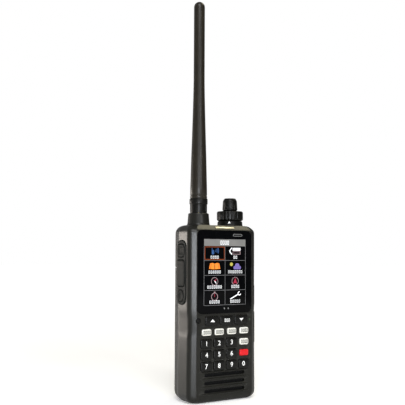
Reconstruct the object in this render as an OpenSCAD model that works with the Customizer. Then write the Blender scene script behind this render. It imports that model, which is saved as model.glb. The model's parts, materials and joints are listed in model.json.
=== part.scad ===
// Handheld aviation radio: body, keypad, side controls, knobs, whip antenna and battery.
// +Z is up, the display faces -Y and +X is the viewer's right.
// The origin is the middle of the flat base that the radio stands on.

/* [Body] */
// Width of the body across its side flats
body_w = 61; // [60:0.5:63]
// Depth of the body, front face to the battery's back
body_d = 33; // [32.5:0.5:35]
// Height of the body without antenna and knobs
body_h = 133; // [132:0.5:136]
// Wall thickness of the front case
wall = 2; // [1.8:0.1:2.2]
// Thickness of the front case's front wall
front_wall = 2.2; // [2:0.1:2.4]
// Angle of the front bevel from the front face, in degrees
bevel_angle = 30; // [27:1:33]
// Radius where the front bevel rolls into the side flat
front_roll_r = 5; // [4.6:0.1:5.4]
// Distance from the front face to the front edge of the side flat
front_roll_depth = 6.1; // [5.9:0.1:6.3]
// Radius of the rear corners seen from above
rear_corner_r = 8; // [7:0.5:9]
// How far the sides pull in at the rear corners
rear_pull_in = 2; // [1.5:0.1:2.5]
// Angle at which the sides taper towards the rear, in degrees
taper_angle = 14; // [12:1:16]
// Radius of the body's corners seen from the front
end_r = 6; // [5:0.5:7]
// Radius along the front edge of the base
base_front_r = 4; // [3.5:0.5:5]
// Radius along the rear edge of the base
base_rear_r = 8; // [6:0.5:9]
// Radius along the rear edge of the top
top_rear_r = 7; // [5:0.5:7]
// Size of the sloping band along the front edge of the top
top_bevel = 4; // [3:0.5:5]
// Where the seam between front case and chassis lies, behind the middle
seam_y = 5; // [4.8:0.1:5.2]
// Width of the seam, which the gasket fills
seam_w = 0.8; // [0.6:0.1:1]

/* [Display] */
// Width of the glossy display window
window_w = 49; // [47:0.5:49.5]
// Height of the glossy display window
window_h = 63; // [61:0.5:63.5]
// Height of the window's middle above the base
window_z = 97.5; // [97:0.5:98]
// Thickness of the window
window_t = 1.5; // [1.2:0.1:1.5]
// Corner radius of the window
window_r = 4; // [3:0.5:5]
// Width of the liquid crystal panel
lcd_w = 40; // [38:0.5:41]
// Height of the liquid crystal panel
lcd_h = 54; // [52:0.5:55]
// Thickness of the liquid crystal panel
lcd_t = 1.8; // [1.5:0.1:1.8]

/* [Keys] */
// Across position of the first key column
key_x0 = -16.3; // [-16.6:0.1:-16]
// Height of the lowest key row above the base
key_z0 = 27.1; // [26.9:0.1:27.3]
// Distance from one key column to the next
key_pitch_x = 11.2; // [11:0.1:11.4]
// Distance from one key row to the next
key_pitch_z = 8.4; // [8.3:0.1:8.6]
// Width and height of a digit key
digit_key = [9.8, 6.8]; // [6:0.1:10]
// Width and height of a pale function key
pale_key = [7.8, 4.7]; // [4.4:0.1:9]
// Width and height of a navigation key
nav_key = [12, 7.2]; // [6.8:0.1:12]
// Across position of the first navigation key
nav_x0 = -11.4; // [-11.6:0.1:-11.2]
// Distance from one navigation key to the next
nav_pitch = 13; // [12.9:0.1:13.2]
// Height of the navigation keys above the base
nav_z = 60.7; // [60.4:0.1:61]
// How far a key stands out of the front face
key_proud = 0.9; // [0.6:0.1:1.2]
// Corner radius of a key
key_r = 1.3; // [1:0.1:1.6]
// Travel of a key
key_travel = 0.5; // [0.3:0.1:0.5]

/* [Speaker] */
// Width of a speaker slot
slot_w = 36; // [30:1:38]
// Height of a speaker slot
slot_h = 2.5; // [2:0.1:3]
// Distance from one speaker slot to the next
slot_pitch = 5.9; // [5.6:0.1:6]
// Height of the lowest speaker slot above the base
slot_z0 = 8.8; // [8.6:0.1:9]
// Number of speaker slots
slot_count = 3; // [2:1:3]
// Width of the speaker
speaker_w = 40; // [38:0.5:40]
// Height of the speaker
speaker_h = 15.9; // [15.5:0.1:15.9]

/* [Side controls] */
// Height of the lower end of the rubber pad above the base
pad_z0 = 72.5; // [72:0.5:73]
// Height of the rubber pad
pad_h = 49; // [48:0.5:49]
// Width of the rubber pad, front to back
pad_w = 14.2; // [14:0.1:14.4]
// How far the pad stands out of the side
pad_proud = 0.6; // [0.4:0.1:0.8]
// Depth of the recess that the pad lies in
pad_recess = 0.8; // [0.6:0.1:0.9]
// Front-to-back middle of the side controls
side_y = -2.9; // [-3:0.1:-2.8]
// Width and height of the transmit button
ptt_size = [12.2, 20.2]; // [12:0.1:20.6]
// Height of the transmit button's middle above the base
ptt_z = 96.3; // [96:0.1:96.6]
// Travel of the transmit button
ptt_travel = 1; // [0.6:0.1:1]
// Width and height of the upper side button
upper_button = [11.2, 10]; // [9.6:0.1:11.6]
// Height of the upper side button's middle above the base
upper_button_z = 113.4; // [113:0.1:113.6]
// Radius of the lower side button
lower_button_r = 4.6; // [4.2:0.1:4.8]
// Height of the lower side button's middle above the base
lower_button_z = 79.2; // [79:0.1:79.5]
// Travel of the two small side buttons
side_travel = 0.5; // [0.3:0.1:0.5]

/* [Sockets] */
// Front-to-back middle of the sockets
socket_y = -4.9; // [-5:0.1:-4.8]
// Depth of each socket's bore
socket_depth = 12; // [10:0.5:12]
// Radius of the headphone socket's bore
phone_bore_r = 1.75; // [1.75:0.05:1.8]
// Radius of the microphone socket's bore
mic_bore_r = 1.25; // [1.25:0.05:1.3]
// Radius of the power socket's bore
power_bore_r = 1.9; // [1.8:0.1:2.8]
// Radius of the power socket's middle pin
power_pin_r = 0.65; // [0.5:0.05:0.8]
// Heights of the lower cover's ends above the base
lower_cover = [40.2, 67]; // [39:0.1:67.4]
// Heights of the upper cover's ends above the base
upper_cover = [69.3, 88]; // [69:0.1:89]
// Width of a socket cover, front to back
cover_w = 9.8; // [9.6:0.1:9.8]
// How far a socket cover stands out of the side
cover_proud = 1.8; // [1.4:0.1:2]
// Radius of the bead that a socket cover turns on
bead_r = 0.75; // [0.7:0.05:0.8]

/* [Top controls] */
// Across position of the knobs
knob_x = 14.3; // [14:0.1:14.6]
// Front-to-back position of the knobs
knob_y = -1.4; // [-1.6:0.1:-1.2]
// Radius of the squelch ring
squelch_r = 10.4; // [10.2:0.1:10.6]
// Height of the squelch ring
squelch_h = 7.6; // [7:0.1:8]
// Radius of the volume knob at its foot
volume_r = 6.05; // [5.8:0.05:6.3]
// Height of the volume knob
volume_h = 10; // [9:0.5:11]
// Height of the raised shoulder under the knobs
shoulder_h = 3.8; // [3.4:0.1:4]
// Number of grooves round the squelch ring
squelch_grooves = 16; // [12:1:20]
// Number of grooves round the volume knob
volume_grooves = 12; // [8:1:14]

/* [Antenna] */
// Across position of the antenna
antenna_x = -15.4; // [-15.6:0.1:-15.2]
// Front-to-back position of the antenna
antenna_y = -2.4; // [-2.6:0.1:-2.2]
// Height of the antenna's tip above the base
antenna_top = 310; // [280:1:330]
// Radius of the whip at its foot
whip_foot_r = 6.65; // [6.2:0.05:6.8]
// Radius of the whip at its tip
whip_tip_r = 4.3; // [4:0.1:4.6]
// Radius of the ring at the whip's foot
ferrule_r = 7.05; // [6.9:0.05:7.3]
// Radius of the threaded stud, a quarter inch across
stud_r = 3.175; // [3.1:0.025:3.2]
// Height of the collar that the antenna stands in
collar_h = 9.2; // [8.8:0.1:9.4]

/* [Battery] */
// Height of the battery's top above the base
battery_top = 100.3; // [98:0.1:101]
// Depth of the battery, front to back
battery_d = 8.6; // [8.4:0.1:8.8]
// Heights of the latch's ends above the base
latch_z = [9.9, 27.5]; // [9.6:0.1:28]
// Thickness of the latch band
latch_t = 1.6; // [1.4:0.1:1.7]

/* [Fits] */
// Radial clearance of turning shafts and threads
run_gap = 0.05; // [0.03:0.01:0.08]
// Gap between a key and its hole
key_gap = 0.2; // [0.15:0.05:0.25]
// Gap between other moving pieces
move_gap = 0.3; // [0.2:0.05:0.3]

/* [Hidden] */
$fn = 64;
eps = 0.01;
far = 200;

// Colours
case_grey = "#43433f";
chassis_grey = "#3a3a38";
rubber_black = "#2c2e2c";
gloss_black = "#101012";
key_black = "#1c1c1e";
pale = "#e6e4da";
red = "#cf2127";
metal = "#b9b9b4";
brass = "#c8a552";
board_green = "#1f5a38";
screen_grey = "#20242c";
holder_white = "#f4f4f0";
mat_grey = "#55585c";
ceramic = "#d9d2bd";
mesh_black = "#202020";
frame_black = "#2a2a2a";
cone_black = "#15161a";
gasket_brown = "#7a4a20";
lens_green = "#7fbf7f";
cell_blue = "#4a6ea8";

// Main planes
half_w = body_w / 2;
half_d = body_d / 2;
front_y = -half_d;
inner_y = front_y + front_wall;
seam_front = seam_y - seam_w / 2;
seam_rear = seam_y + seam_w / 2;
front_roll = [half_w - front_roll_r, front_y + front_roll_depth];
rear_corner = [half_w - rear_pull_in - rear_corner_r, half_d - rear_corner_r];

// The top slab of the front case reaches back over the chassis
slab_gap = 0.2;
slab_z = body_h - top_bevel + slab_gap;
slab_y = half_d - top_rear_r - slab_gap;

// Battery bay and upper block of the chassis
battery_y = half_d - battery_d;
plate_rear = battery_y - move_gap;
bay_top = battery_top + move_gap;
block_wall = 2.2;
block_inner_w = 50;
block_floor = bay_top + 3;

// Screws that hold the two halves together
screw_x = 25.3;
screw_zs = [10, 66];
screw_r = 1.1;
screw_head_r = 2.2;
screw_head_t = 1.3;
boss_r = 2.3;
screw_tip_y = -4;

// Belt clip holes in the rear of the upper block
clip_spacing = 20;
clip_z = 117;
clip_hole_r = 1.25;

// Layers behind the front face
lcd_y = front_y + window_t + 0.1;
holder_y = lcd_y + lcd_t;
board_y = front_y + 6.5;
board_t = 1.4;
board_back = board_y + board_t;
board_w = 50;
board_z0 = 25.2;
board_top = 128.5;
can_x = [-20, 12];
can_zs = [[34, 62], [72, 110]];
can_h = 3;
patch_w = 12;
patch_h = 4;
patch_z = 119;
dome_h = 0.4;
dome_r = 2.5;
stem_clear = 0.1;
key_flange = 0.35;
key_flange_t = 0.6;
key_flange_y = inner_y + 0.2;
post_r = 1.4;
post_end = board_y - dome_h - key_travel - stem_clear;
mat_y = key_flange_y + key_flange_t + key_travel + move_gap;
mat_t = 0.7;
mat_w = 45;
mat_z0 = 24.9;
mat_top = 65.5;
post_hole_r = post_r + 0.35;

// Speaker
speaker_z = slot_z0 + slot_pitch * (slot_count - 1) / 2;
mesh_t = 0.3;
speaker_depth = 5.5;
speaker_rim = 1.6;
speaker_r = 3;
cone_t = 0.8;

// Microphone and indicator beside the navigation keys
mic_x = -22.5;
mic_z = 62;
mic_r = 2.2;
mic_t = 1.4;
mic_hole_r = 0.8;
led_x = 22.8;
led_z = 60.5;
led_r = 0.7;

// Side controls
pad_r = 6.4;
button_r = 3.5;
button_extra = 0.5;
flange_clear = 0.9;
button_flange_x = -half_w + wall + flange_clear;
button_flange_t = 0.6;
button_flange = 0.6;
stem_r = 2;
switch_clear = 0.8;
switch_x = button_flange_x + button_flange_t + ptt_travel + switch_clear;
switch_t = 1.4;
switch_size = 4.6;
strip_t = 0.8;

// Socket covers and sockets
cover_recess = 0.8;
cover_floor = half_w - cover_recess;
cover_inner = cover_floor + 0.2;
bead = [half_w + 0.1, 0.9];
cover_rear = bead[1] - 0.9;
neck_x = [bead[0] - 0.5, bead[0] + 0.6];
cover_r = 2.4;
phone_z = 59.2;
mic_jack_z = 47.8;
power_z = 78.6;
nose_r = 3.2;
jack_x0 = cover_floor - socket_depth;
jack_x1 = half_w - wall - slab_gap;
jack_d = 2 * (socket_y - board_back);
jack_end = 0.6;

// Top controls
shoulder_top = body_h + shoulder_h;
shoulder_r = [10.1, 9.8];
squelch_z = shoulder_top + move_gap;
volume_z = squelch_z + squelch_h + move_gap;
bushing_r = 4.5;
squelch_shaft_r = 3;
volume_shaft_r = 1.6;
control_w = 12;
control_z = [116, 128];
groove_r = 0.9;
knob_chamfer = 1;
crown_angle = 30;
volume_crown = 2;
volume_taper = 0.5;
volume_cap = 2.6;
volume_shaft_drop = 2;

// Antenna and its socket
collar_top = body_h + collar_h;
collar_r = [8.6, 7.95];
stud_top = collar_top + 5;
stud_flange_r = 5;
stud_flange_h = 2;
stud_tail = 9;
sleeve_r = 6.6;
sleeve_z = collar_top + move_gap;
ferrule_z = [149.5, 153.5];
ferrule_step = 0.5;
spigot_r = 4;
spigot_top = 165;
whip_z = 154.2;
whip_rings = [[185, 0.69], [209, 0.37], [233, 0.1], [246, 0]];
rod_r = 1.2;
rod_z = [149.5, 300];

// Battery
cell_size = [24, 5.2, 64];
cell_x = 0.6;
cell_y = battery_y + 1.5;
cell_z = 31.5;
cavity_gap = 0.4;
battery_split = battery_y + 3.6;
latch_pivot = [half_d - latch_t / 2, latch_z[0] + 1.1];
latch_pin_r = 0.7;
latch_foot_r = 1.4;
latch_ear_x = [19, 22];
latch_ear_top = latch_pivot[1] + 2.4;
latch_side_y = battery_split + 0.5;
terminal_z = 92;
terminal_pitch = 6;
terminal_size = [3, 0.4, 8];

// ---- Shared outlines ----

// Position of key column c and key row r, counted from the lower left
function key_at(c, r) = [key_x0 + c * key_pitch_x, key_z0 + r * key_pitch_z];

// Position of navigation key c, counted from the left
function nav_at(c) = [nav_x0 + c * nav_pitch, nav_z];

// The digit keys' places: 1 to 9 in three rows of three, and 0 beside 9
function digit_at(d) = d == 0 ? key_at(3, 0) : key_at((d - 1) % 3, 2 - floor((d - 1) / 3));

// Right-hand half of the body seen from above, pulled in by t all round
function plan_half(t) =
    let (
        roll = front_roll_r - t,
        rear = rear_corner_r - t,
        roll_end = front_roll + roll * [sin(bevel_angle), -cos(bevel_angle)],
        face_x = roll_end[0] - (roll_end[1] - front_y - t) / tan(bevel_angle),
        normal = [cos(taper_angle), sin(taper_angle)],
        taper_y = (rear_corner * normal + rear - (half_w - t) * normal[0]) / normal[1]
    )
    [
        [face_x, front_y + t],
        roll_end,
        [half_w - t, front_roll[1]],
        [half_w - t, taper_y],
        rear_corner + rear * normal,
        [rear_corner[0], half_d - t]
    ];

// The body's outline seen from above, pulled in by t all round
module plan(t = 0) {
    right = plan_half(t);
    left = [for (i = [len(right) - 1:-1:0]) [-right[i][0], right[i][1]]];
    polygon(concat(right, left));
    for (s = [-1, 1]) {
        translate([s * front_roll[0], front_roll[1]]) circle(front_roll_r - t);
        translate([s * rear_corner[0], rear_corner[1]]) circle(rear_corner_r - t);
    }
}

// The body's outline seen from the side, depth across and height up
module side_outline(t = 0) {
    bevel = top_bevel - t * (2 - sqrt(2));
    polygon([
        [front_y + t, base_front_r],
        [front_y + base_front_r, t],
        [half_d - base_rear_r, t],
        [half_d - t, base_rear_r],
        [half_d - t, body_h - top_rear_r],
        [half_d - top_rear_r, body_h - t],
        [front_y + t + bevel, body_h - t],
        [front_y + t, body_h - t - bevel]
    ]);
    translate([front_y + base_front_r, base_front_r]) circle(base_front_r - t);
    translate([half_d - base_rear_r, base_rear_r]) circle(base_rear_r - t);
    translate([half_d - top_rear_r, body_h - top_rear_r]) circle(top_rear_r - t);
}

// A rectangle with round corners, centred
module rounded(size, r) {
    square([size[0] - 2 * r, size[1]], center = true);
    square([size[0], size[1] - 2 * r], center = true);
    for (x = [-1, 1], y = [-1, 1])
        translate([x * (size[0] / 2 - r), y * (size[1] / 2 - r)]) circle(r);
}

// Stands an outline drawn across and up on the front, between depths y0 and y1
module facing_front(y0, y1) {
    translate([0, y1, 0]) rotate([90, 0, 0]) linear_extrude(y1 - y0) children();
}

// Stands an outline drawn in depth and height on the side, between x0 and x1
module facing_side(x0, x1) {
    translate([x0, 0, 0]) rotate([90, 0, 90]) linear_extrude(x1 - x0) children();
}

// A box between two opposite corners
module box(low, high) {
    translate(low) cube(high - low);
}

// The whole body as one block, pulled in by t all round
module body_block(t = 0) {
    intersection() {
        translate([0, 0, -1]) linear_extrude(body_h + 2) plan(t);
        facing_side(-half_w - 1, half_w + 1) side_outline(t);
        facing_front(-half_d - 1, half_d + 1)
            translate([0, body_h / 2])
                rounded([body_w - 2 * t, body_h - 2 * t], end_r - t);
    }
}

// ---- Casing ----

module front_region() {
    box([-far, -far, -far], [far, seam_front, far]);
    box([-far, -far, slab_z], [far, slab_y, far]);
}

// Places of the four case screws
module at_screws() {
    for (x = [-1, 1], z = screw_zs) translate([x * screw_x, 0, z]) children();
}

module screw_bosses() {
    at_screws() facing_front(inner_y - eps, seam_front) circle(boss_r);
}

module screw_holes() {
    at_screws() facing_front(screw_tip_y - 1, seam_front + 1) circle(screw_r);
}

module key_hole(at, size) {
    facing_front(front_y - 1, inner_y + 1)
        translate(at) rounded(size + 2 * key_gap * [1, 1], key_r + key_gap);
}

module key_holes() {
    for (c = [0:3]) key_hole(key_at(c, 3), pale_key);
    for (c = [0:2]) key_hole(nav_at(c), nav_key);
    for (d = [0:9]) key_hole(digit_at(d), digit_key);
    for (r = [1, 2]) key_hole(key_at(3, r), pale_key);
}

module display_openings() {
    facing_front(front_y - 1, front_y + window_t)
        translate([0, window_z]) rounded([window_w, window_h], window_r);
    facing_front(front_y, inner_y + 1)
        translate([0, window_z]) square([lcd_w, lcd_h], center = true);
}

module speaker_slots() {
    for (i = [0:slot_count - 1])
        facing_front(front_y - 1, inner_y + 1)
            translate([0, slot_z0 + i * slot_pitch]) rounded([slot_w, slot_h], slot_h / 2 - eps);
}

module small_front_holes() {
    facing_front(front_y - 1, inner_y + 1) translate([mic_x, mic_z]) circle(mic_hole_r);
    facing_front(front_y - 1, inner_y + 1) translate([led_x, led_z]) circle(led_r);
}

module pad_outline(grow = 0) {
    translate([side_y, pad_z0 + pad_h / 2])
        rounded([pad_w + 2 * grow, pad_h + 2 * grow], pad_r + grow);
}

module ptt_outline(grow = 0) {
    translate([side_y, ptt_z]) rounded(ptt_size + 2 * grow * [1, 1], button_r + grow);
}

module upper_button_outline(grow = 0) {
    translate([side_y, upper_button_z])
        rounded(upper_button + 2 * grow * [1, 1], button_r + grow);
}

module lower_button_outline(grow = 0) {
    translate([side_y, lower_button_z]) circle(lower_button_r + grow);
}

module button_outlines(grow = 0) {
    ptt_outline(grow);
    upper_button_outline(grow);
    lower_button_outline(grow);
}

module side_openings() {
    facing_side(-half_w - 1, -half_w + pad_recess) pad_outline();
    facing_side(-half_w - 1, -half_w + 2 * wall) button_outlines(key_gap);
}

module cover_outline(ends, grow = 0) {
    translate([cover_rear - cover_w / 2, (ends[0] + ends[1]) / 2])
        rounded([cover_w + 2 * grow, ends[1] - ends[0] + 2 * grow], cover_r + grow);
}

module cover_openings() {
    for (ends = [lower_cover, upper_cover]) {
        facing_side(cover_floor, half_w + 1) cover_outline(ends, move_gap);
        translate([bead[0], bead[1], ends[0] + cover_r - move_gap])
            cylinder(r = bead_r + run_gap, h = ends[1] - ends[0] - 2 * (cover_r - move_gap));
    }
    for (z = [phone_z, mic_jack_z, power_z])
        facing_side(half_w - 2 * wall, half_w) translate([socket_y, z]) circle(nose_r);
}

module antenna_collar() {
    translate([antenna_x, antenna_y, body_h - eps])
        cylinder(r1 = collar_r[0], r2 = collar_r[1], h = collar_h + eps);
}

module knob_shoulder() {
    translate([knob_x, knob_y, body_h - eps])
        cylinder(r1 = shoulder_r[0], r2 = shoulder_r[1], h = shoulder_h + eps);
}

module top_openings() {
    translate([antenna_x, antenna_y, body_h / 2]) cylinder(r = stud_r + run_gap, h = far);
    translate([knob_x, knob_y, body_h / 2]) cylinder(r = bushing_r + run_gap, h = far);
}

module front_case() {
    color(case_grey) difference() {
        union() {
            difference() {
                intersection() {
                    body_block();
                    front_region();
                }
                intersection() {
                    body_block(wall);
                    box([-far, inner_y, -far], [far, seam_y, far]);
                }
            }
            intersection() {
                body_block();
                screw_bosses();
            }
            antenna_collar();
            knob_shoulder();
        }
        display_openings();
        key_holes();
        speaker_slots();
        small_front_holes();
        side_openings();
        cover_openings();
        top_openings();
        screw_holes();
    }
}

module rear_chassis() {
    color(chassis_grey) difference() {
        intersection() {
            body_block();
            box([-far, seam_rear, -far], [far, far, far]);
        }
        box([-far, -far, slab_z - slab_gap], [far, slab_y + slab_gap, far]);
        box([-far, plate_rear, -far], [far, far, bay_top]);
        box([-block_inner_w / 2, -far, block_floor],
            [block_inner_w / 2, half_d - block_wall, slab_z - slab_gap - block_wall]);
        at_screws() facing_front(seam_y, far) circle(screw_r);
        at_screws() facing_front(plate_rear - screw_head_t, far) circle(screw_head_r);
        for (s = [-1, 1])
            facing_front(half_d - block_wall - 1, half_d + 1)
                translate([s * clip_spacing / 2, clip_z]) circle(clip_hole_r);
        at_terminals() box([0, plate_rear - terminal_size[1], 0],
            [terminal_size[0], far, terminal_size[2]]);
    }
}

module case_gasket() {
    side_lip = 1.6;
    outer_w = body_w - 2 * side_lip;
    lip = 0.9;
    gasket_w = 1;
    top = slab_z - slab_gap;
    color(gasket_brown) facing_front(seam_front, seam_rear)
        translate([0, (lip + top) / 2]) difference() {
            rounded([outer_w, top - lip], end_r - lip);
            rounded([outer_w - 2 * gasket_w, top - lip - 2 * gasket_w], end_r - lip - gasket_w);
        }
}

// A plain bar on the sloping band above the display
module name_plate() {
    plate = [17, 1.6, 0.4];
    color(metal) translate([1, front_y + top_bevel / 2, body_h - top_bevel / 2])
        rotate([45, 0, 0]) translate([0, 0, plate[2] / 2]) cube(plate, center = true);
}

module at_terminals() {
    for (i = [-1:1])
        translate([i * terminal_pitch - terminal_size[0] / 2, 0, terminal_z - terminal_size[2] / 2])
            children();
}

module battery_terminals() {
    color(brass) at_terminals() box([0, plate_rear - terminal_size[1], 0],
        [terminal_size[0], plate_rear, terminal_size[2]]);
}

module case_screws() {
    color(metal) at_screws() {
        facing_front(screw_tip_y, plate_rear - screw_head_t + eps) circle(screw_r);
        facing_front(plate_rear - screw_head_t, plate_rear) circle(screw_head_r);
    }
}

// ---- Display and boards ----

module display_window() {
    color(gloss_black) facing_front(front_y, front_y + window_t)
        translate([0, window_z]) rounded([window_w, window_h], window_r);
}

module lcd_panel() {
    color(screen_grey) facing_front(lcd_y, holder_y)
        translate([0, window_z]) square([lcd_w, lcd_h], center = true);
}

module lcd_holder() {
    rim = 2.4;
    color(holder_white) facing_front(holder_y, board_y) translate([0, window_z]) difference() {
        square([lcd_w + 2 * rim, lcd_h + 2 * rim], center = true);
        square([lcd_w - 2 * rim, lcd_h - 2 * rim], center = true);
    }
}

// Middles of all nineteen keys
module at_keys() {
    for (c = [0:3]) translate(key_at(c, 3)) children();
    for (c = [0:2]) translate(nav_at(c)) children();
    for (d = [0:9]) translate(digit_at(d)) children();
    for (r = [1, 2]) translate(key_at(3, r)) children();
}

module keypad_mat() {
    color(mat_grey) facing_front(mat_y, mat_y + mat_t) difference() {
        translate([0, (mat_z0 + mat_top) / 2]) square([mat_w, mat_top - mat_z0], center = true);
        at_keys() circle(post_hole_r);
    }
}

module key_domes() {
    color(metal) facing_front(board_y - dome_h, board_y) at_keys() circle(dome_r);
}

module main_board() {
    color(board_green) difference() {
        box([-board_w / 2, board_y, board_z0], [board_w / 2, board_back, board_top]);
        at_screws() facing_front(board_y - 1, board_back + 1) circle(boss_r + move_gap);
    }
}

module shield_cans() {
    color(metal) for (z = can_zs)
        box([can_x[0], board_back, z[0]], [can_x[1], board_back + can_h, z[1]]);
}

module gps_patch() {
    color(ceramic) box([-patch_w / 2, board_back, patch_z - patch_w / 2],
        [patch_w / 2, board_back + patch_h, patch_z + patch_w / 2]);
}

// ---- Sound ----

module speaker_outline(shrink = 0) {
    translate([0, speaker_z])
        rounded([speaker_w, speaker_h] - 2 * shrink * [1, 1], speaker_r - shrink);
}

module speaker_mesh() {
    color(mesh_black) facing_front(inner_y, inner_y + mesh_t) speaker_outline();
}

module speaker_frame() {
    y0 = inner_y + mesh_t;
    color(frame_black) difference() {
        facing_front(y0, y0 + speaker_depth) speaker_outline();
        facing_front(y0 - 1, y0 + speaker_depth - speaker_rim) speaker_outline(speaker_rim);
    }
}

module speaker_cone() {
    y0 = inner_y + mesh_t + cone_t;
    color(cone_black) facing_front(y0, y0 + cone_t) speaker_outline(speaker_rim);
}

module microphone() {
    color(metal) facing_front(inner_y, inner_y + mic_t) translate([mic_x, mic_z]) circle(mic_r);
}

module status_led() {
    color(lens_green) facing_front(front_y, inner_y) translate([led_x, led_z]) circle(led_r);
}

// ---- Keys ----

// A key: cap through the front wall, flange behind it and post down to its dome
module key(at, size, tint) {
    color(tint) {
        facing_front(front_y - key_proud, key_flange_y + eps) translate(at) rounded(size, key_r);
        facing_front(key_flange_y, key_flange_y + key_flange_t)
            translate(at) rounded(size + 2 * key_flange * [1, 1], key_r);
        facing_front(key_flange_y, post_end) translate(at) circle(post_r);
    }
}

module digit(d) {
    key(digit_at(d), digit_key, key_black);
}

module key_up() { key(nav_at(0), nav_key, key_black); }
module key_enter() { key(nav_at(1), nav_key, key_black); }
module key_down() { key(nav_at(2), nav_key, key_black); }
module key_func() { key(key_at(0, 3), pale_key, pale); }
module key_menu() { key(key_at(1, 3), pale_key, pale); }
module key_save() { key(key_at(2, 3), pale_key, pale); }
module key_back() { key(key_at(3, 3), pale_key, pale); }
module key_comm() { key(key_at(3, 2), pale_key, pale); }
module key_emergency() { key(key_at(3, 1), pale_key, red); }
module key_0() { digit(0); }
module key_1() { digit(1); }
module key_2() { digit(2); }
module key_3() { digit(3); }
module key_4() { digit(4); }
module key_5() { digit(5); }
module key_6() { digit(6); }
module key_7() { digit(7); }
module key_8() { digit(8); }
module key_9() { digit(9); }

// ---- Side controls ----

module side_pad() {
    color(rubber_black) intersection() {
        facing_side(-half_w - 2, -half_w + pad_recess) difference() {
            pad_outline();
            button_outlines(key_gap);
        }
        body_block(-pad_proud);
    }
}

// A side button: the cap follows the body's side, with a flange and a stem behind the wall
module side_button(z, travel) {
    color(rubber_black) {
        intersection() {
            facing_side(-half_w - 2, button_flange_x + eps) children(0);
            body_block(-pad_proud - button_extra);
        }
        facing_side(button_flange_x, button_flange_x + button_flange_t) children(1);
        facing_side(button_flange_x, switch_x - travel - stem_clear)
            translate([side_y, z]) circle(stem_r);
    }
}

module ptt_button() {
    side_button(ptt_z, ptt_travel) {
        ptt_outline();
        ptt_outline(button_flange);
    }
}

module side_button_top() {
    side_button(upper_button_z, side_travel) {
        upper_button_outline();
        upper_button_outline(button_flange);
    }
}

module side_button_bottom() {
    side_button(lower_button_z, side_travel) {
        lower_button_outline();
        lower_button_outline(button_flange);
    }
}

module side_switches() {
    x1 = switch_x + switch_t;
    color(metal) {
        for (z = [ptt_z, upper_button_z, lower_button_z])
            facing_side(switch_x, x1 + eps)
                translate([side_y, z]) square(switch_size, center = true);
        facing_side(x1, x1 + strip_t) translate([side_y, (lower_button_z + upper_button_z) / 2])
            square([switch_size + 2, upper_button_z - lower_button_z + 2 * switch_size], center = true);
    }
}

// ---- Sockets and their covers ----

module jack_body(z0, z1, noses) {
    box([jack_x0 - jack_end, socket_y - jack_d / 2, z0], [jack_x1, socket_y + jack_d / 2, z1]);
    for (z = noses) facing_side(jack_x1 - eps, cover_floor) translate([socket_y, z]) circle(nose_r);
}

module jack_bore(z, r) {
    facing_side(jack_x0, cover_floor + 1) translate([socket_y, z]) circle(r);
}

module headset_jacks() {
    margin = 4.3;
    color(key_black) difference() {
        jack_body(mic_jack_z - margin, phone_z + margin, [mic_jack_z, phone_z]);
        jack_bore(phone_z, phone_bore_r);
        jack_bore(mic_jack_z, mic_bore_r);
    }
}

module dc_jack() {
    margin = 4.8;
    color(key_black) {
        difference() {
            jack_body(power_z - margin, power_z + margin, [power_z]);
            jack_bore(power_z, power_bore_r);
        }
        facing_side(jack_x0 - jack_end / 2, cover_floor - 1)
            translate([socket_y, power_z]) circle(power_pin_r);
    }
}

// A rubber cover that lies over its sockets and turns on a bead along its rear edge
module jack_cover(ends) {
    bead_z0 = ends[0] + cover_r;
    bead_h = ends[1] - ends[0] - 2 * cover_r;
    color(rubber_black) {
        facing_side(cover_inner, half_w + cover_proud) cover_outline(ends);
        box([neck_x[0], cover_rear - eps, bead_z0], [neck_x[1], bead[1], bead_z0 + bead_h]);
        translate([bead[0], bead[1], bead_z0]) cylinder(r = bead_r, h = bead_h);
    }
}

module jack_cover_upper() { jack_cover(upper_cover); }
module jack_cover_lower() { jack_cover(lower_cover); }

// ---- Top controls ----

// A turned knob with grooves round it, standing on z = 0, with its top edge cut back by crown
module knob(r0, r1, h, crown, grooves) {
    difference() {
        rotate_extrude() polygon([
            [0, 0], [r0 - knob_chamfer, 0], [r0, knob_chamfer],
            [r1, h - crown], [r1 - crown * tan(crown_angle), h], [0, h]
        ]);
        for (i = [0:grooves - 1])
            rotate(i * 360 / grooves) translate([r0 + groove_r / 2, 0, -1])
                cylinder(r = groove_r, h = h + 2);
    }
}

module at_knobs(z) {
    translate([knob_x, knob_y, z]) children();
}

module squelch_knob() {
    color(key_black) at_knobs(squelch_z) difference() {
        knob(squelch_r, squelch_r, squelch_h, knob_chamfer, squelch_grooves);
        translate([0, 0, -1]) cylinder(r = squelch_shaft_r, h = squelch_h + 2);
    }
}

module squelch_shaft() {
    z0 = control_z[1] + move_gap;
    color(brass) difference() {
        at_knobs(z0) cylinder(r = squelch_shaft_r, h = squelch_z + squelch_h - z0);
        at_knobs(z0 - 1) cylinder(r = volume_shaft_r + run_gap, h = far);
    }
}

module volume_knob() {
    color(key_black) at_knobs(volume_z) difference() {
        knob(volume_r, volume_r - volume_taper, volume_h, volume_crown, volume_grooves);
        translate([0, 0, -1]) cylinder(r = volume_shaft_r, h = volume_h - volume_cap + 1);
    }
}

module volume_shaft() {
    z0 = control_z[1] - volume_shaft_drop;
    color(metal) at_knobs(z0) cylinder(r = volume_shaft_r, h = volume_z + volume_h - volume_cap - z0);
}

module control_block() {
    color(metal) difference() {
        union() {
            box([knob_x - control_w / 2, board_back, control_z[0]],
                [knob_x + control_w / 2, knob_y + control_w / 2, control_z[1]]);
            at_knobs(control_z[1] - eps) cylinder(r = bushing_r, h = shoulder_top - control_z[1] + eps);
        }
        at_knobs(control_z[1]) cylinder(r = squelch_shaft_r + run_gap, h = far);
        at_knobs(control_z[1] - volume_shaft_drop - move_gap)
            cylinder(r = volume_shaft_r + run_gap, h = far);
    }
}

// ---- Antenna ----

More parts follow.
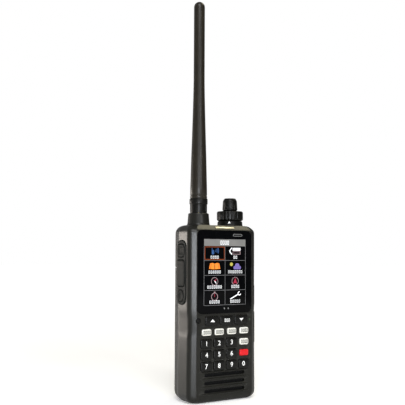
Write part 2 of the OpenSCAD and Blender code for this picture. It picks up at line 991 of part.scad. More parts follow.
module at_antenna(z = 0) {
    translate([antenna_x, antenna_y, z]) children();
}

module antenna_jack() {
    top_inside = body_h - wall;
    tail_z = top_inside - stud_tail;
    color(brass) {
        at_antenna(tail_z) cylinder(r = stud_r, h = stud_top - tail_z);
        at_antenna(top_inside - stud_flange_h) cylinder(r = stud_flange_r, h = stud_flange_h);
    }
}

module antenna_base() {
    socket_top = stud_top + 1;
    color(key_black) at_antenna() difference() {
        rotate_extrude() polygon([
            [0, sleeve_z], [sleeve_r, sleeve_z],
            [sleeve_r, ferrule_z[0] - ferrule_step], [ferrule_r, ferrule_z[0]],
            [ferrule_r, ferrule_z[1]], [spigot_r, ferrule_z[1]],
            [spigot_r, spigot_top], [0, spigot_top]
        ]);
        translate([0, 0, sleeve_z - 1]) cylinder(r = stud_r + run_gap, h = socket_top - sleeve_z + 1);
        translate([0, 0, rod_z[0] - move_gap]) cylinder(r = rod_r + run_gap, h = far);
    }
}

// The tapering rubber whip: narrow fast near the foot, then almost straight
module antenna_whip() {
    taper = whip_foot_r - whip_tip_r;
    tip_z = antenna_top - whip_tip_r;
    color(rubber_black) at_antenna() difference() {
        union() {
            rotate_extrude() polygon(concat(
                [[0, ferrule_z[1]], [whip_foot_r - ferrule_step, ferrule_z[1]], [whip_foot_r, whip_z]],
                [for (p = whip_rings) [whip_tip_r + p[1] * taper, p[0]]],
                [[whip_tip_r, tip_z], [0, tip_z]]
            ));
            translate([0, 0, tip_z]) sphere(whip_tip_r);
        }
        translate([0, 0, ferrule_z[1] - 1])
            cylinder(r = spigot_r + run_gap, h = spigot_top - ferrule_z[1] + 1);
        translate([0, 0, spigot_top - 1])
            cylinder(r = rod_r + run_gap, h = rod_z[1] + move_gap - spigot_top + 1);
    }
}

module antenna_rod() {
    color(brass) at_antenna(rod_z[0]) cylinder(r = rod_r, h = rod_z[1] - rod_z[0]);
}

// ---- Battery ----

module battery_block() {
    intersection() {
        body_block();
        box([-far, battery_y, -far], [far, far, battery_top]);
    }
}

module cell_cavity() {
    box([-cell_size[0] - cell_x - cavity_gap, cell_y - cavity_gap, cell_z - cavity_gap],
        [cell_size[0] + cell_x + cavity_gap, cell_y + cell_size[1] + cavity_gap,
            cell_z + cell_size[2] + cavity_gap]);
}

// The two places, left and right, where an ear of the battery carries the latch's pin
module latch_ears(grow, top) {
    for (s = [-1, 1])
        translate([s * (latch_ear_x[0] + latch_ear_x[1]) / 2, 0, 0])
            box([-(latch_ear_x[1] - latch_ear_x[0]) / 2 - grow, -far, -far],
                [(latch_ear_x[1] - latch_ear_x[0]) / 2 + grow, far, top]);
}

module latch_pins(gap = 0) {
    for (s = [-1, 1])
        translate([s * (latch_ear_x[0] + latch_ear_x[1]) / 2, 0, 0])
            facing_side(-latch_ear_x[1] + latch_ear_x[0], latch_ear_x[1] - latch_ear_x[0])
                translate(latch_pivot) circle(latch_pin_r + gap);
}

// Room for the latch: a band round the back and a round trough where its foot turns
module latch_room() {
    difference() {
        union() {
            difference() {
                box([-far, battery_split, latch_z[0] - move_gap], [far, far, latch_z[1] + move_gap]);
                body_block(latch_t + move_gap);
            }
            facing_side(-far, far) translate(latch_pivot) circle(latch_foot_r + move_gap);
        }
        latch_ears(0, latch_ear_top);
    }
    latch_pins(run_gap);
}

module battery_case() {
    color(chassis_grey) difference() {
        intersection() {
            battery_block();
            box([-far, -far, -far], [far, battery_split, far]);
        }
        cell_cavity();
    }
}

module battery_cover() {
    color(case_grey) difference() {
        intersection() {
            battery_block();
            box([-far, battery_split, -far], [far, far, far]);
        }
        cell_cavity();
        latch_room();
    }
}

module battery_cells() {
    color(cell_blue) for (x = [cell_x, -cell_x - cell_size[0]])
        translate([x, cell_y, cell_z]) cube(cell_size);
}

// A band across the back, notched round the battery's two ears, with a pin through each
module battery_latch() {
    color(rubber_black) {
        difference() {
            intersection() {
                body_block();
                box([-far, latch_side_y, latch_z[0]], [far, far, latch_z[1]]);
            }
            body_block(latch_t);
            latch_ears(move_gap, latch_ear_top + 3 * move_gap);
        }
        latch_pins();
    }
}

// ---- Assembly ----

front_case();
rear_chassis();
case_gasket();
name_plate();
display_window();
lcd_panel();
lcd_holder();
keypad_mat();
main_board();
key_domes();
speaker_frame();
speaker_cone();
speaker_mesh();
microphone();
shield_cans();
gps_patch();
control_block();
antenna_jack();
side_pad();
side_switches();
status_led();
headset_jacks();
dc_jack();
case_screws();
battery_terminals();
key_up();
key_enter();
key_down();
key_func();
key_menu();
key_save();
key_back();
key_comm();
key_emergency();
key_0();
key_1();
key_2();
key_3();
key_4();
key_5();
key_6();
key_7();
key_8();
key_9();
ptt_button();
side_button_top();
side_button_bottom();
volume_knob();
volume_shaft();
squelch_knob();
squelch_shaft();
antenna_whip();
antenna_rod();
antenna_base();
jack_cover_upper();
jack_cover_lower();
battery_case();
battery_cells();
battery_cover();
battery_latch();
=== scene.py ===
"""Handheld aviation radio: the looks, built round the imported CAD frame.

Pieces are drawn in millimetres and turned into metres as they are added. The stage, the lights
and the camera are in metres. Seen from the front, X runs right, Y to the back and Z up."""
import json
import math

import bmesh
import bpy
from mathutils import Matrix, Vector


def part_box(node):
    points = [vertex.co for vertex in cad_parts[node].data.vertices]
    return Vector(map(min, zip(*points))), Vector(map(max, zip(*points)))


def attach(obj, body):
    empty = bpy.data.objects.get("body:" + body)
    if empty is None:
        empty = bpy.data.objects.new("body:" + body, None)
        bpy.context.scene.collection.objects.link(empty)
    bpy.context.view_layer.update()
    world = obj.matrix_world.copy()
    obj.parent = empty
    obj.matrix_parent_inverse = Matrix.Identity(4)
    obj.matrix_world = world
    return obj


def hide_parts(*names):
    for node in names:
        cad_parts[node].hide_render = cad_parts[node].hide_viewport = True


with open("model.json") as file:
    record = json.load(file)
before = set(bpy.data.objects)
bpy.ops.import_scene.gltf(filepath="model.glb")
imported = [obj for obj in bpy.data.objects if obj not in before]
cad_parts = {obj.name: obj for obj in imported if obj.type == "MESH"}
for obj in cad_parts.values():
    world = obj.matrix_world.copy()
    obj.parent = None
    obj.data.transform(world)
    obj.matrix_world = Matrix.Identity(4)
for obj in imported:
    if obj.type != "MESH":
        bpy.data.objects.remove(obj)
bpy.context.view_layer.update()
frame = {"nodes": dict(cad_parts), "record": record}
MM = 0.001
NODES = frame["nodes"]


# ---- Sizes read from the frame, in millimetres ----

def box_mm(node):
    """Lowest and highest corner of a CAD node, in millimetres."""
    low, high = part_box(node)
    return low / MM, high / MM


def middle(node):
    low, high = box_mm(node)
    return (low + high) / 2


CASE_LOW, CASE_HIGH = box_mm("front_case")
CHASSIS_HIGH = box_mm("rear_chassis")[1]
HALF_W = CASE_HIGH.x
FRONT_Y = CASE_LOW.y
REAR_Y = CHASSIS_HIGH.y
BODY_H = CHASSIS_HIGH.z
WHIP = middle("antenna_whip")
KNOB = middle("squelch_knob")

# Tops of the antenna's collar and of the knobs' shoulder, which the front case carries.
COLLAR_TOP = 142.2
SHOULDER_TOP = 136.8


# ---- Materials ----

# Size in mm of the patches in which a colour varies, and how much roughness does.
PATCH = 6
ROUGH_SPREAD = 0.05
SMOOTHEST = 0.02
# Pointiness at which an edge starts to look worn and is fully so, and how its colour lightens.
WORN_FROM, WORN_TO = 0.52, 0.62
WORN_GAIN, WORN_LIFT = 2.4, 0.03
BUMP_STRENGTH = 2.5
COAT_ROUGHNESS = 0.06
STREAK = 0.05
# The colour sockets of a Mix node share their names with others, so they go by number.
MIX_ONE, MIX_TWO, MIX_RESULT = 6, 7, 2


def finish(name, colour, rough, metallic=0.0, grain=0.35, bump=0.12, mottle=0.12, wear=0.0,
           coat=0.0, glow=0.0, streak=False, gloss=0.5):
    """A moulded, painted or metal surface: mottled colour, uneven roughness and a fine grain.

    grain is the grain's size in mm, bump its depth in tenths of a mm, mottle how much the colour
    varies, wear how much edges lighten, and gloss how strongly the surface reflects. streak draws
    the grain out along Z as brushing or extrusion lines do."""
    mat = bpy.data.materials.new(name)
    mat.use_nodes = True
    tree = mat.node_tree
    link = tree.links.new
    shader = tree.nodes["Principled BSDF"]
    shader.inputs["Metallic"].default_value = metallic
    shader.inputs["Specular IOR Level"].default_value = gloss
    shader.inputs["Coat Weight"].default_value = coat
    shader.inputs["Coat Roughness"].default_value = COAT_ROUGHNESS
    place = tree.nodes.new("ShaderNodeTexCoord")
    stretch = tree.nodes.new("ShaderNodeMapping")
    stretch.inputs["Scale"].default_value = (1, 1, STREAK) if streak else (1, 1, 1)
    link(place.outputs["Object"], stretch.inputs["Vector"])

    def noise(size_mm, detail):
        node = tree.nodes.new("ShaderNodeTexNoise")
        node.inputs["Scale"].default_value = 1 / (size_mm * MM)
        node.inputs["Detail"].default_value = detail
        link(stretch.outputs["Vector"], node.inputs["Vector"])
        return node.outputs["Fac"]

    def ramp(source, low, high, start=0.3, end=0.7):
        node = tree.nodes.new("ShaderNodeMapRange")
        node.inputs["From Min"].default_value = start
        node.inputs["From Max"].default_value = end
        node.inputs["To Min"].default_value = low
        node.inputs["To Max"].default_value = high
        link(source, node.inputs["Value"])
        return node.outputs["Result"]

    def blend(fac, one, two):
        node = tree.nodes.new("ShaderNodeMix")
        node.data_type = "RGBA"
        link(fac, node.inputs["Factor"])
        for socket, value in ((node.inputs[MIX_ONE], one), (node.inputs[MIX_TWO], two)):
            if isinstance(value, tuple):
                socket.default_value = (*value, 1)
            else:
                link(value, socket)
        return node.outputs[MIX_RESULT]

    darker = tuple(c * (1 - mottle) for c in colour)
    lighter = tuple(min(1, c * (1 + mottle)) for c in colour)
    tint = blend(ramp(noise(PATCH, 4), 0, 1), darker, lighter)
    if wear:
        geometry = tree.nodes.new("ShaderNodeNewGeometry")
        worn = ramp(geometry.outputs["Pointiness"], 0, wear, WORN_FROM, WORN_TO)
        tint = blend(worn, tint, tuple(min(1, c * WORN_GAIN + WORN_LIFT) for c in colour))
    link(tint, shader.inputs["Base Color"])
    uneven = ramp(noise(grain * 3, 3), max(SMOOTHEST, rough - ROUGH_SPREAD), rough + ROUGH_SPREAD)
    link(uneven, shader.inputs["Roughness"])
    relief = tree.nodes.new("ShaderNodeBump")
    relief.inputs["Strength"].default_value = min(1.0, bump * BUMP_STRENGTH)
    relief.inputs["Distance"].default_value = bump * 0.1 * MM
    link(noise(grain, 2), relief.inputs["Height"])
    link(relief.outputs["Normal"], shader.inputs["Normal"])
    if glow:
        link(tint, shader.inputs["Emission Color"])
        shader.inputs["Emission Strength"].default_value = glow
    return mat


def lit(name, colour):
    """Part of the lit screen, under the window's gloss."""
    return finish(name, colour, 0.35, grain=0.2, bump=0.02, mottle=0.06, glow=0.3, gloss=0.15)


MATERIALS = {
    "case": finish("case", (0.0066, 0.0065, 0.0048), 0.33, grain=0.3, bump=0.1, wear=0.3, gloss=0.3),
    "chassis": finish("chassis", (0.0072, 0.0070, 0.0058), 0.4, grain=0.35, bump=0.16, wear=0.3,
                      gloss=0.28),
    "gasket": finish("gasket", (0.008, 0.007, 0.006), 0.7, grain=0.4),
    "plate": finish("plate", (0.62, 0.53, 0.34), 0.34, metallic=0.7, grain=0.15, bump=0.05, wear=0.3),
    "window": finish("window", (0.0012, 0.0013, 0.0016), 0.06, grain=1.5, bump=0.005, gloss=0.06),
    "lcd": finish("lcd", (0.0015, 0.0016, 0.0022), 0.1, grain=0.5, bump=0.01, gloss=0.3),
    "holder": finish("holder", (0.72, 0.72, 0.70), 0.5, grain=0.5, bump=0.08),
    "mat": finish("mat", (0.12, 0.125, 0.13), 0.75, grain=0.3, bump=0.1),
    "board": finish("board", (0.020, 0.095, 0.045), 0.35, grain=0.6, bump=0.1, coat=0.3),
    "steel": finish("steel", (0.56, 0.56, 0.54), 0.3, metallic=1.0, grain=0.15, bump=0.06, streak=True),
    "brass": finish("brass", (0.66, 0.48, 0.22), 0.28, metallic=1.0, grain=0.15, bump=0.06,
                    streak=True),
    "speaker": finish("speaker", (0.006, 0.006, 0.007), 0.6, grain=0.3, gloss=0.3),
    "mesh": finish("mesh", (0.002, 0.002, 0.002), 0.85, grain=0.25, bump=0.6, gloss=0.2),
    "ceramic": finish("ceramic", (0.62, 0.57, 0.46), 0.6, grain=0.2, bump=0.1),
    "lens": finish("lens", (0.05, 0.07, 0.05), 0.15, grain=0.5, bump=0.02, coat=0.6),
    "socket": finish("socket", (0.006, 0.006, 0.006), 0.3, grain=0.3, bump=0.08, gloss=0.3),
    "rubber": finish("rubber", (0.0062, 0.0072, 0.0064), 0.52, grain=0.25, bump=0.2, mottle=0.18,
                     wear=0.25, gloss=0.07),
    "key_dark": finish("key_dark", (0.0028, 0.0028, 0.0024), 0.28, grain=0.25, bump=0.08, wear=0.25,
                       gloss=0.25),
    "key_pale": finish("key_pale", (0.74, 0.73, 0.66), 0.36, grain=0.25, bump=0.08, mottle=0.04),
    "key_red": finish("key_red", (0.56, 0.010, 0.014), 0.34, grain=0.25, bump=0.08, mottle=0.08,
                      gloss=0.3),
    "knob": finish("knob", (0.0024, 0.0024, 0.0018), 0.36, grain=0.25, bump=0.12, wear=0.3, gloss=0.17),
    "whip": finish("whip", (0.0100, 0.0078, 0.0045), 0.36, grain=0.3, bump=0.1, mottle=0.2,
                   wear=0.2, gloss=0.3),
    "battery": finish("battery", (0.0072, 0.0072, 0.0060), 0.45, grain=0.3, bump=0.14, wear=0.3,
                      gloss=0.28),
    "cells": finish("cells", (0.06, 0.13, 0.32), 0.3, grain=0.5, bump=0.04, coat=0.4),
    "latch": finish("latch", (0.0034, 0.0034, 0.0032), 0.42, grain=0.25, bump=0.12, wear=0.3,
                    gloss=0.3),
}
EXTRA = {
    "print_white": finish("print_white", (0.80, 0.80, 0.78), 0.45, grain=0.2, bump=0.04, mottle=0.05),
    "print_grey": finish("print_grey", (0.04, 0.04, 0.038), 0.5, grain=0.2, bump=0.04),
    "print_dim": finish("print_dim", (0.20, 0.20, 0.195), 0.5, grain=0.2, bump=0.04),
    "screen_white": lit("screen_white", (0.72, 0.73, 0.74)),
    "screen_grey": lit("screen_grey", (0.140, 0.138, 0.132)),
    "screen_line": lit("screen_line", (0.095, 0.095, 0.097)),
    "screen_orange": lit("screen_orange", (0.66, 0.185, 0.022)),
    "screen_frame": lit("screen_frame", (0.17, 0.035, 0.010)),
    "screen_yellow": lit("screen_yellow", (0.34, 0.30, 0.06)),
    "screen_purple": lit("screen_purple", (0.125, 0.098, 0.28)),
    "screen_blue": lit("screen_blue", (0.022, 0.060, 0.16)),
    "screen_red": lit("screen_red", (0.24, 0.018, 0.036)),
    "screen_rose": lit("screen_rose", (0.26, 0.19, 0.20)),
}


# ---- Mesh tools ----

# Edges sharper than this many degrees stay sharp in the shading.
SMOOTH_ANGLE = 32
# Points nearer than this become one: in drawn meshes, and in copies of CAD nodes.
WELD = 1e-4
CAD_WELD = 0.001
# Faces of a copy that meet within this many degrees become one.
FLAT_ANGLE = 0.5
LATHE_STEPS = 72


def add_piece(name, mesh, body, slot, material=None, stands_for=()):
    """Shades a mesh, hangs it on its body, gives it its slot's material unless another is given, and
    hides the CAD nodes it stands for.
    """
    mesh.validate()
    for polygon in mesh.polygons:
        polygon.use_smooth = True
    mesh.set_sharp_from_angle(angle=math.radians(SMOOTH_ANGLE))
    mesh.materials.clear()
    mesh.materials.append(material or MATERIALS[slot])
    piece = bpy.data.objects.new(name, mesh)
    bpy.context.scene.collection.objects.link(piece)
    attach(piece, body)
    if stands_for:
        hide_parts(*stands_for)
    return piece


def mesh_of(bm, name):
    bmesh.ops.recalc_face_normals(bm, faces=bm.faces)
    mesh = bpy.data.meshes.new(name)
    bm.to_mesh(mesh)
    bm.free()
    return mesh


def scaled(mesh):
    """Turns a mesh drawn in millimetres into metres."""
    mesh.transform(Matrix.Scale(MM, 4))
    return mesh


def round_edges(bm, width, angle=35, segments=2):
    """Rounds every edge sharper than angle by width, in the mesh's own units."""
    sharp = [e for e in bm.edges
             if len(e.link_faces) == 2 and e.calc_face_angle(0) > math.radians(angle)]
    bmesh.ops.bevel(bm, geom=sharp, offset=width, segments=segments, profile=0.5,
                    affect="EDGES", clamp_overlap=False)


def cad_copy(node):
    """A CAD node's mesh in millimetres, with flat regions joined up."""
    bm = bmesh.new()
    bm.from_mesh(NODES[node].data)
    bmesh.ops.scale(bm, vec=(1 / MM,) * 3, verts=bm.verts)
    bmesh.ops.remove_doubles(bm, verts=bm.verts, dist=CAD_WELD)
    bmesh.ops.dissolve_limit(bm, angle_limit=math.radians(FLAT_ANGLE), verts=bm.verts,
                             edges=bm.edges)
    return bm


def body_of(node):
    for body, nodes in frame["record"]["behaviour"]["bodies"].items():
        if node in nodes:
            return body


def slot_of(node):
    for part in frame["record"]["subparts"]:
        if part["node"] == node:
            return part["material_slot"]


def softened(node, width, angle=35, segments=2):
    """Stands for a CAD node with the same shape and rounded edges."""
    bm = cad_copy(node)
    round_edges(bm, width, angle, segments)
    return add_piece(node + "_soft", scaled(mesh_of(bm, node)), body_of(node), slot_of(node),
                     stands_for=[node])


def combined(target, tool, operation):
    """Boolean of two meshes in millimetres; gives a new mesh."""
    one = bpy.data.objects.new("one", target)
    two = bpy.data.objects.new("two", tool)
    for helper in (one, two):
        bpy.context.scene.collection.objects.link(helper)
    step = one.modifiers.new("step", "BOOLEAN")
    step.operation = operation
    step.solver = "EXACT"
    step.object = two
    graph = bpy.context.evaluated_depsgraph_get()
    result = bpy.data.meshes.new_from_object(one.evaluated_get(graph))
    for helper in (one, two):
        bpy.data.objects.remove(helper)
    return result


def filleted(corners, step):
    """A closed outline with each (x, y, radius) corner rounded, one point per step degrees."""
    out = []
    count = len(corners)
    for i, (x, y, r) in enumerate(corners):
        here = Vector((x, y))
        back = (Vector(corners[i - 1][:2]) - here).normalized()
        ahead = (Vector(corners[(i + 1) % count][:2]) - here).normalized()
        half = back.angle(ahead) / 2
        centre = here + (back + ahead).normalized() * (r / math.sin(half))
        first = here + back * (r / math.tan(half)) - centre
        last = here + ahead * (r / math.tan(half)) - centre
        turn = first.angle_signed(last)
        steps = max(1, round(abs(math.degrees(turn)) / step))
        for k in range(steps + 1):
            point = centre + Matrix.Rotation(-turn * k / steps, 2) @ first
            out.append((point.x, point.y))
    return out


def rounded_box_outline(x0, z0, x1, z1, r, step=15):
    return filleted([(x0, z0, r), (x1, z0, r), (x1, z1, r), (x0, z1, r)], step)


def join_loops(bm, first, second):
    """Adds a band of faces between two closed loops of as many points."""
    for i in range(len(first)):
        j = (i + 1) % len(first)
        bm.faces.new((first[i], first[j], second[j], second[i]))


def prism(bm, outline, y0, y1):
    """Adds an outline in X and Z, extruded from depth y0 to y1."""
    front = [bm.verts.new((x, y0, z)) for x, z in outline]
    back = [bm.verts.new((x, y1, z)) for x, z in outline]
    bm.faces.new(front)
    bm.faces.new(back[::-1])
    join_loops(bm, back, front)


def flat_piece(name, outlines, y0, y1, body, slot, material):
    """Thin flat shapes facing the front: print, screen symbols and trim."""
    bm = bmesh.new()
    for outline in outlines:
        prism(bm, outline, y0, y1)
    return add_piece(name, scaled(mesh_of(bm, name)), body, slot, material)


def rings_mesh(rings, name):
    """Joins closed rings of equal length into one closed skin with flat ends."""
    bm = bmesh.new()
    loops = [[bm.verts.new(p) for p in ring] for ring in rings]
    for low, high in zip(loops, loops[1:]):
        join_loops(bm, low, high)
    bm.faces.new(loops[0][::-1])
    bm.faces.new(loops[-1])
    bmesh.ops.remove_doubles(bm, verts=bm.verts, dist=WELD)
    return mesh_of(bm, name)


def lathe(name, profile, x, y, body, slot, stands_for=()):
    """Turns a closed (radius, height) profile round the upright axis through x, y."""
    bm = bmesh.new()
    rows = []
    for k in range(LATHE_STEPS):
        turn = Matrix.Rotation(2 * math.pi * k / LATHE_STEPS, 3, "Z")
        rows.append([bm.verts.new(turn @ Vector((r, 0, z)) + Vector((x, y, 0))) for r, z in profile])
    for one, two in zip(rows, rows[1:] + rows[:1]):
        join_loops(bm, one, two)
    bmesh.ops.remove_doubles(bm, verts=bm.verts, dist=WELD)
    return add_piece(name, scaled(mesh_of(bm, name)), body, slot, stands_for=stands_for)


def bar(cx, cz, w, h, r=0.0):
    """A rectangle about its middle, with round corners where r is given."""
    if r:
        return rounded_box_outline(cx - w / 2, cz - h / 2, cx + w / 2, cz + h / 2, r)
    return [(cx - w / 2, cz - h / 2), (cx + w / 2, cz - h / 2), (cx + w / 2, cz + h / 2),
            (cx - w / 2, cz + h / 2)]


def disc(cx, cz, r, count=28):
    return [(cx + r * math.cos(2 * math.pi * i / count), cz + r * math.sin(2 * math.pi * i / count))
            for i in range(count)]


def band(cx, cz, r, width, start=0.0, end=360.0, steps=26):
    """Strips that make a ring or part of one, angles in degrees."""
    out = []
    for i in range(steps):
        a, b = (math.radians(start + (end - start) * k / steps) for k in (i, i + 1))
        out.append([(cx + q * math.cos(t), cz + q * math.sin(t))
                    for q, t in ((r, a), (r, b), (r - width, b), (r - width, a))])
    return out


def stroke(points, width):
    """Strips along a line of points."""
    out = []
    for (x0, z0), (x1, z1) in zip(points, points[1:]):
        run = Vector((x1 - x0, z1 - z0)).normalized()
        side = Vector((-run.y, run.x)) * width / 2
        out.append([(x0 - side.x, z0 - side.y), (x1 - side.x, z1 - side.y),
                    (x1 + side.x, z1 + side.y), (x0 + side.x, z0 + side.y)])
    return out


def glyphs(cx, cz, count, w, h, gap, line):
    """A row of hollow blocks that stands for a printed word."""
    out = []
    for i in range(count):
        x = cx + (i - (count - 1) / 2) * (w + gap)
        out += [bar(x, cz + (h - line) / 2, w, line), bar(x, cz - (h - line) / 2, w, line),
                bar(x - (w - line) / 2, cz, line, h - 2 * line),
                bar(x + (w - line) / 2, cz, line, h - 2 * line)]
    return out


# ---- The body's skin ----

# How round the body's ends are, seen from the front and from the side.
END_R = 6
BASE_FRONT_R = 4
BASE_REAR_R = 8
TOP_REAR_R = 7
TOP_BEVEL = 4
# Seen from above, the front's flat ends at FLANK_X and the rear narrows from TAPER_Y.
FLANK_X = 24.93
FLANK_SLOPE = math.tan(math.radians(30))
TAPER_Y = 1.46
REAR_CORNER_X = 26.75
# The flanks are pinched by so much at each height, in front of WAIST_Y.
WAIST = [(0, 0), (22, 0), (30, 0.15), (48, 0.25), (53, 0.9), (62, 0.9), (70, 0.1), (133, 0)]
WAIST_Y = -6
WAIST_FADE = 5
# Heights of the skin's rings, close together where it curves.
LEVELS = [0, 0.06, 0.2, 0.45, 0.8, 1.25, 1.8, 2.5, 3.3, 4.2, 5.2, 6.4, 8]
LEVELS += [12, 17, 22, 26, 30, 36, 42, 46, 48, 49.5, 51, 53, 56, 59, 62, 64, 66, 68, 70]
LEVELS += [78, 86, 94, 102, 110, 118, 124, 126, 127.2, 128, 128.5, 129, 129.5, 130, 130.6]
LEVELS += [131.2, 131.7, 132.1, 132.45, 132.7, 132.88, 132.97, 133]
# The skin lies this far inside the CAD shells; a cut's edges are rounded by CUT_EDGE.
SKIN_INSET = 0.03
CUT_EDGE = 0.22
CUT_ANGLE = 50
CUT_WELD = 0.004
CUT_SLIVER = 0.002
EVEN_WEIGHT = 80

# The microphone's round recess in the front, to the left of the navigation keys.
MIC = Vector((-23.4, 0, 61.2))
MIC_RECESS_R = 2.1
MIC_RECESS = 0.9
MIC_SIDES = 40


def end_inset(distance, r):
    """How far a round end of radius r pulls in at a distance from that end."""
    if distance >= r:
        return 0
    return r - math.sqrt(max(0, r * r - (r - distance) ** 2))


def soft_ramp(x):
    """0 below zero and x above it, with a soft turn between."""
    softness = 0.5
    return (x + math.sqrt(x * x + softness * softness)) / 2


def table(points, at):
    """Reads a smooth curve through (position, value) points."""
    for (a, va), (b, vb) in zip(points, points[1:]):
        if at <= b:
            share = max(0, (at - a) / (b - a))
            share = share * share * (3 - 2 * share)
            return va + (vb - va) * share
    return points[-1][1]


def plan_outline():
    """The body seen from above, counter-clockwise from the front left."""
    flank_y = FRONT_Y + (HALF_W - FLANK_X) * FLANK_SLOPE
    right = [(FLANK_X, FRONT_Y, 2.5), (HALF_W, flank_y, 5), (HALF_W, TAPER_Y, 12),
             (REAR_CORNER_X, REAR_Y, 8)]
    left = [(-x, y, r) for x, y, r in reversed(right)]
    return filleted(right + left, 7.5)


def skin_rings():
    """The whole body's skin as closed rings, from the base up."""
    plan = plan_outline()
    rings = []
    for z in LEVELS:
        from_top = BODY_H - z
        wide = HALF_W - SKIN_INSET - end_inset(z, END_R) - end_inset(from_top, END_R)
        front = FRONT_Y + SKIN_INSET + end_inset(z, BASE_FRONT_R) + soft_ramp(TOP_BEVEL - from_top)
        rear = REAR_Y - SKIN_INSET - end_inset(z, BASE_REAR_R) - end_inset(from_top, TOP_REAR_R)
        pinch = table(WAIST, z)
        ring = []
        for x, y in plan:
            along = y * (front / FRONT_Y if y < 0 else rear / REAR_Y)
            out = max(0, abs(x) - FLANK_X) / (HALF_W - FLANK_X)
            forward = max(0, min(1, (WAIST_Y - y) / WAIST_FADE))
            across = x * wide / HALF_W - math.copysign(pinch * out * forward, x)
            ring.append((across, along, SKIN_INSET + z * (BODY_H - 2 * SKIN_INSET) / BODY_H))
        rings.append(ring)
    return rings


def soft_shell(node):
    """The CAD node's cuts in the smooth skin of the whole body, with their edges rounded."""
    name = node + "_skin"
    skin = rings_mesh(skin_rings(), "skin")
    mesh = combined(skin, mesh_of(cad_copy(node), node), "INTERSECT")
    if node == "front_case":
        mesh = combined(mesh, microphone_recess(), "DIFFERENCE")
    bm = bmesh.new()
    bm.from_mesh(mesh)
    bmesh.ops.remove_doubles(bm, verts=bm.verts, dist=CUT_WELD)
    bmesh.ops.dissolve_degenerate(bm, dist=CUT_SLIVER, edges=bm.edges)
    round_edges(bm, CUT_EDGE, CUT_ANGLE)
    piece = add_piece(name, scaled(mesh_of(bm, name)), body_of(node), slot_of(node),
                      stands_for=[node])
    even = piece.modifiers.new("even", "WEIGHTED_NORMAL")
    even.keep_sharp = True
    even.weight = EVEN_WEIGHT


def microphone_recess():
    """The round recess cut for the microphone's hole, where the front turns into its bevel."""
    bm = bmesh.new()
    prism(bm, disc(MIC.x, MIC.z, MIC_RECESS_R, MIC_SIDES), FRONT_Y - 1, FRONT_Y + MIC_RECESS)
    return mesh_of(bm, "recess")


def build_microphone_port():
    """A dished lining round the hole in the microphone's recess, near-black and matt: partly painted
    shade that makes the recess look deep.
    """
    floor = FRONT_Y + MIC_RECESS
    profile = [(0.5, floor + 0.6), (0.55, floor + 0.1), (0.9, floor - 0.25), (1.4, floor - 0.3),
               (MIC_RECESS_R - 0.15, floor - 0.1), (MIC_RECESS_R - 0.05, floor + 0.6)]
    bm = bmesh.new()
    loops = [[bm.verts.new((x, y, z)) for x, z in disc(MIC.x, MIC.z, r, MIC_SIDES)]
             for r, y in profile]
    for one, two in zip(loops, loops[1:] + loops[:1]):
        join_loops(bm, one, two)
    # The near-black matt mesh material on this lining is partly painted shade in the microphone's
    # recess.
    add_piece("microphone_port", scaled(mesh_of(bm, "port")), "radio_body", "mesh")


def build_collar():
    """The raised round collar that the antenna stands in."""
    bore = 3.3
    foot = BODY_H - 1
    profile = [(bore, foot), (9.4, foot), (9.3, BODY_H + 0.12), (8.95, BODY_H + 0.3),
               (8.7, BODY_H + 0.75), (8.52, BODY_H + 1.6), (7.97, COLLAR_TOP - 0.7),
               (7.85, COLLAR_TOP - 0.3), (7.55, COLLAR_TOP), (bore, COLLAR_TOP)]
    lathe("antenna_collar", profile, WHIP.x, WHIP.y, "radio_body", "case")


def build_shoulder():
    """The low round shoulder under the two knobs."""
    bore = 4.6
    foot = BODY_H - 1
    profile = [(bore, foot), (10.6, foot), (10.5, BODY_H + 0.1), (10.2, BODY_H + 0.3),
               (10.05, BODY_H + 0.75), (9.8, SHOULDER_TOP - 0.6), (9.6, SHOULDER_TOP - 0.2),
               (9.3, SHOULDER_TOP), (bore, SHOULDER_TOP)]
    lathe("knob_shoulder", profile, KNOB.x, KNOB.y, "radio_body", "knob")


def build_casing():
    for node in ("front_case", "rear_chassis", "battery_case", "battery_cover", "battery_latch"):
        soft_shell(node)
    build_collar()
    build_shoulder()


# ---- Keys and their print ----

# A key's flange stands out by KEY_FLANGE round its cap; its back and its front lie this deep.
KEY_FLANGE = 0.35
FLANGE_DEPTHS = (3, 2.4)
# The cap's corners, its rounded rim and the rise of its pillowed face.
KEY_R = 1.3
KEY_LEAST_R = 0.2
KEY_EDGE = 0.55
KEY_CROWN = 0.12
KEY_POST_R = 1.4
POST_SIDES = 24
CORNER_STEP = 11.25
PRINT_T = 0.03
PRINT_ROOT = 0.06
# A numeral's height on its key, and the height of a digit as a share of the font's size.
NUMERAL_H = 3.6
NUMERAL_SHARE = 0.73
NUMERAL_OUTLINE = 0.06
NUMERAL_RISE = 0.2
NUMERAL_SHIFT = 0.36
ZERO_SHIFT = 0.7


def ring_at(x0, z0, x1, z1, y, grow):
    """A key's outline at depth y, grown on every side."""
    outline = rounded_box_outline(x0 - grow, z0 - grow, x1 + grow, z1 + grow,
                                  max(KEY_LEAST_R, KEY_R + grow), CORNER_STEP)
    return [(x, y, z) for x, z in outline]


def cap_front(node):
    """Middle of a key's face and its depth, in millimetres."""
    low, high = box_mm(node)
    return (low.x + high.x) / 2, low.y, (low.z + high.z) / 2


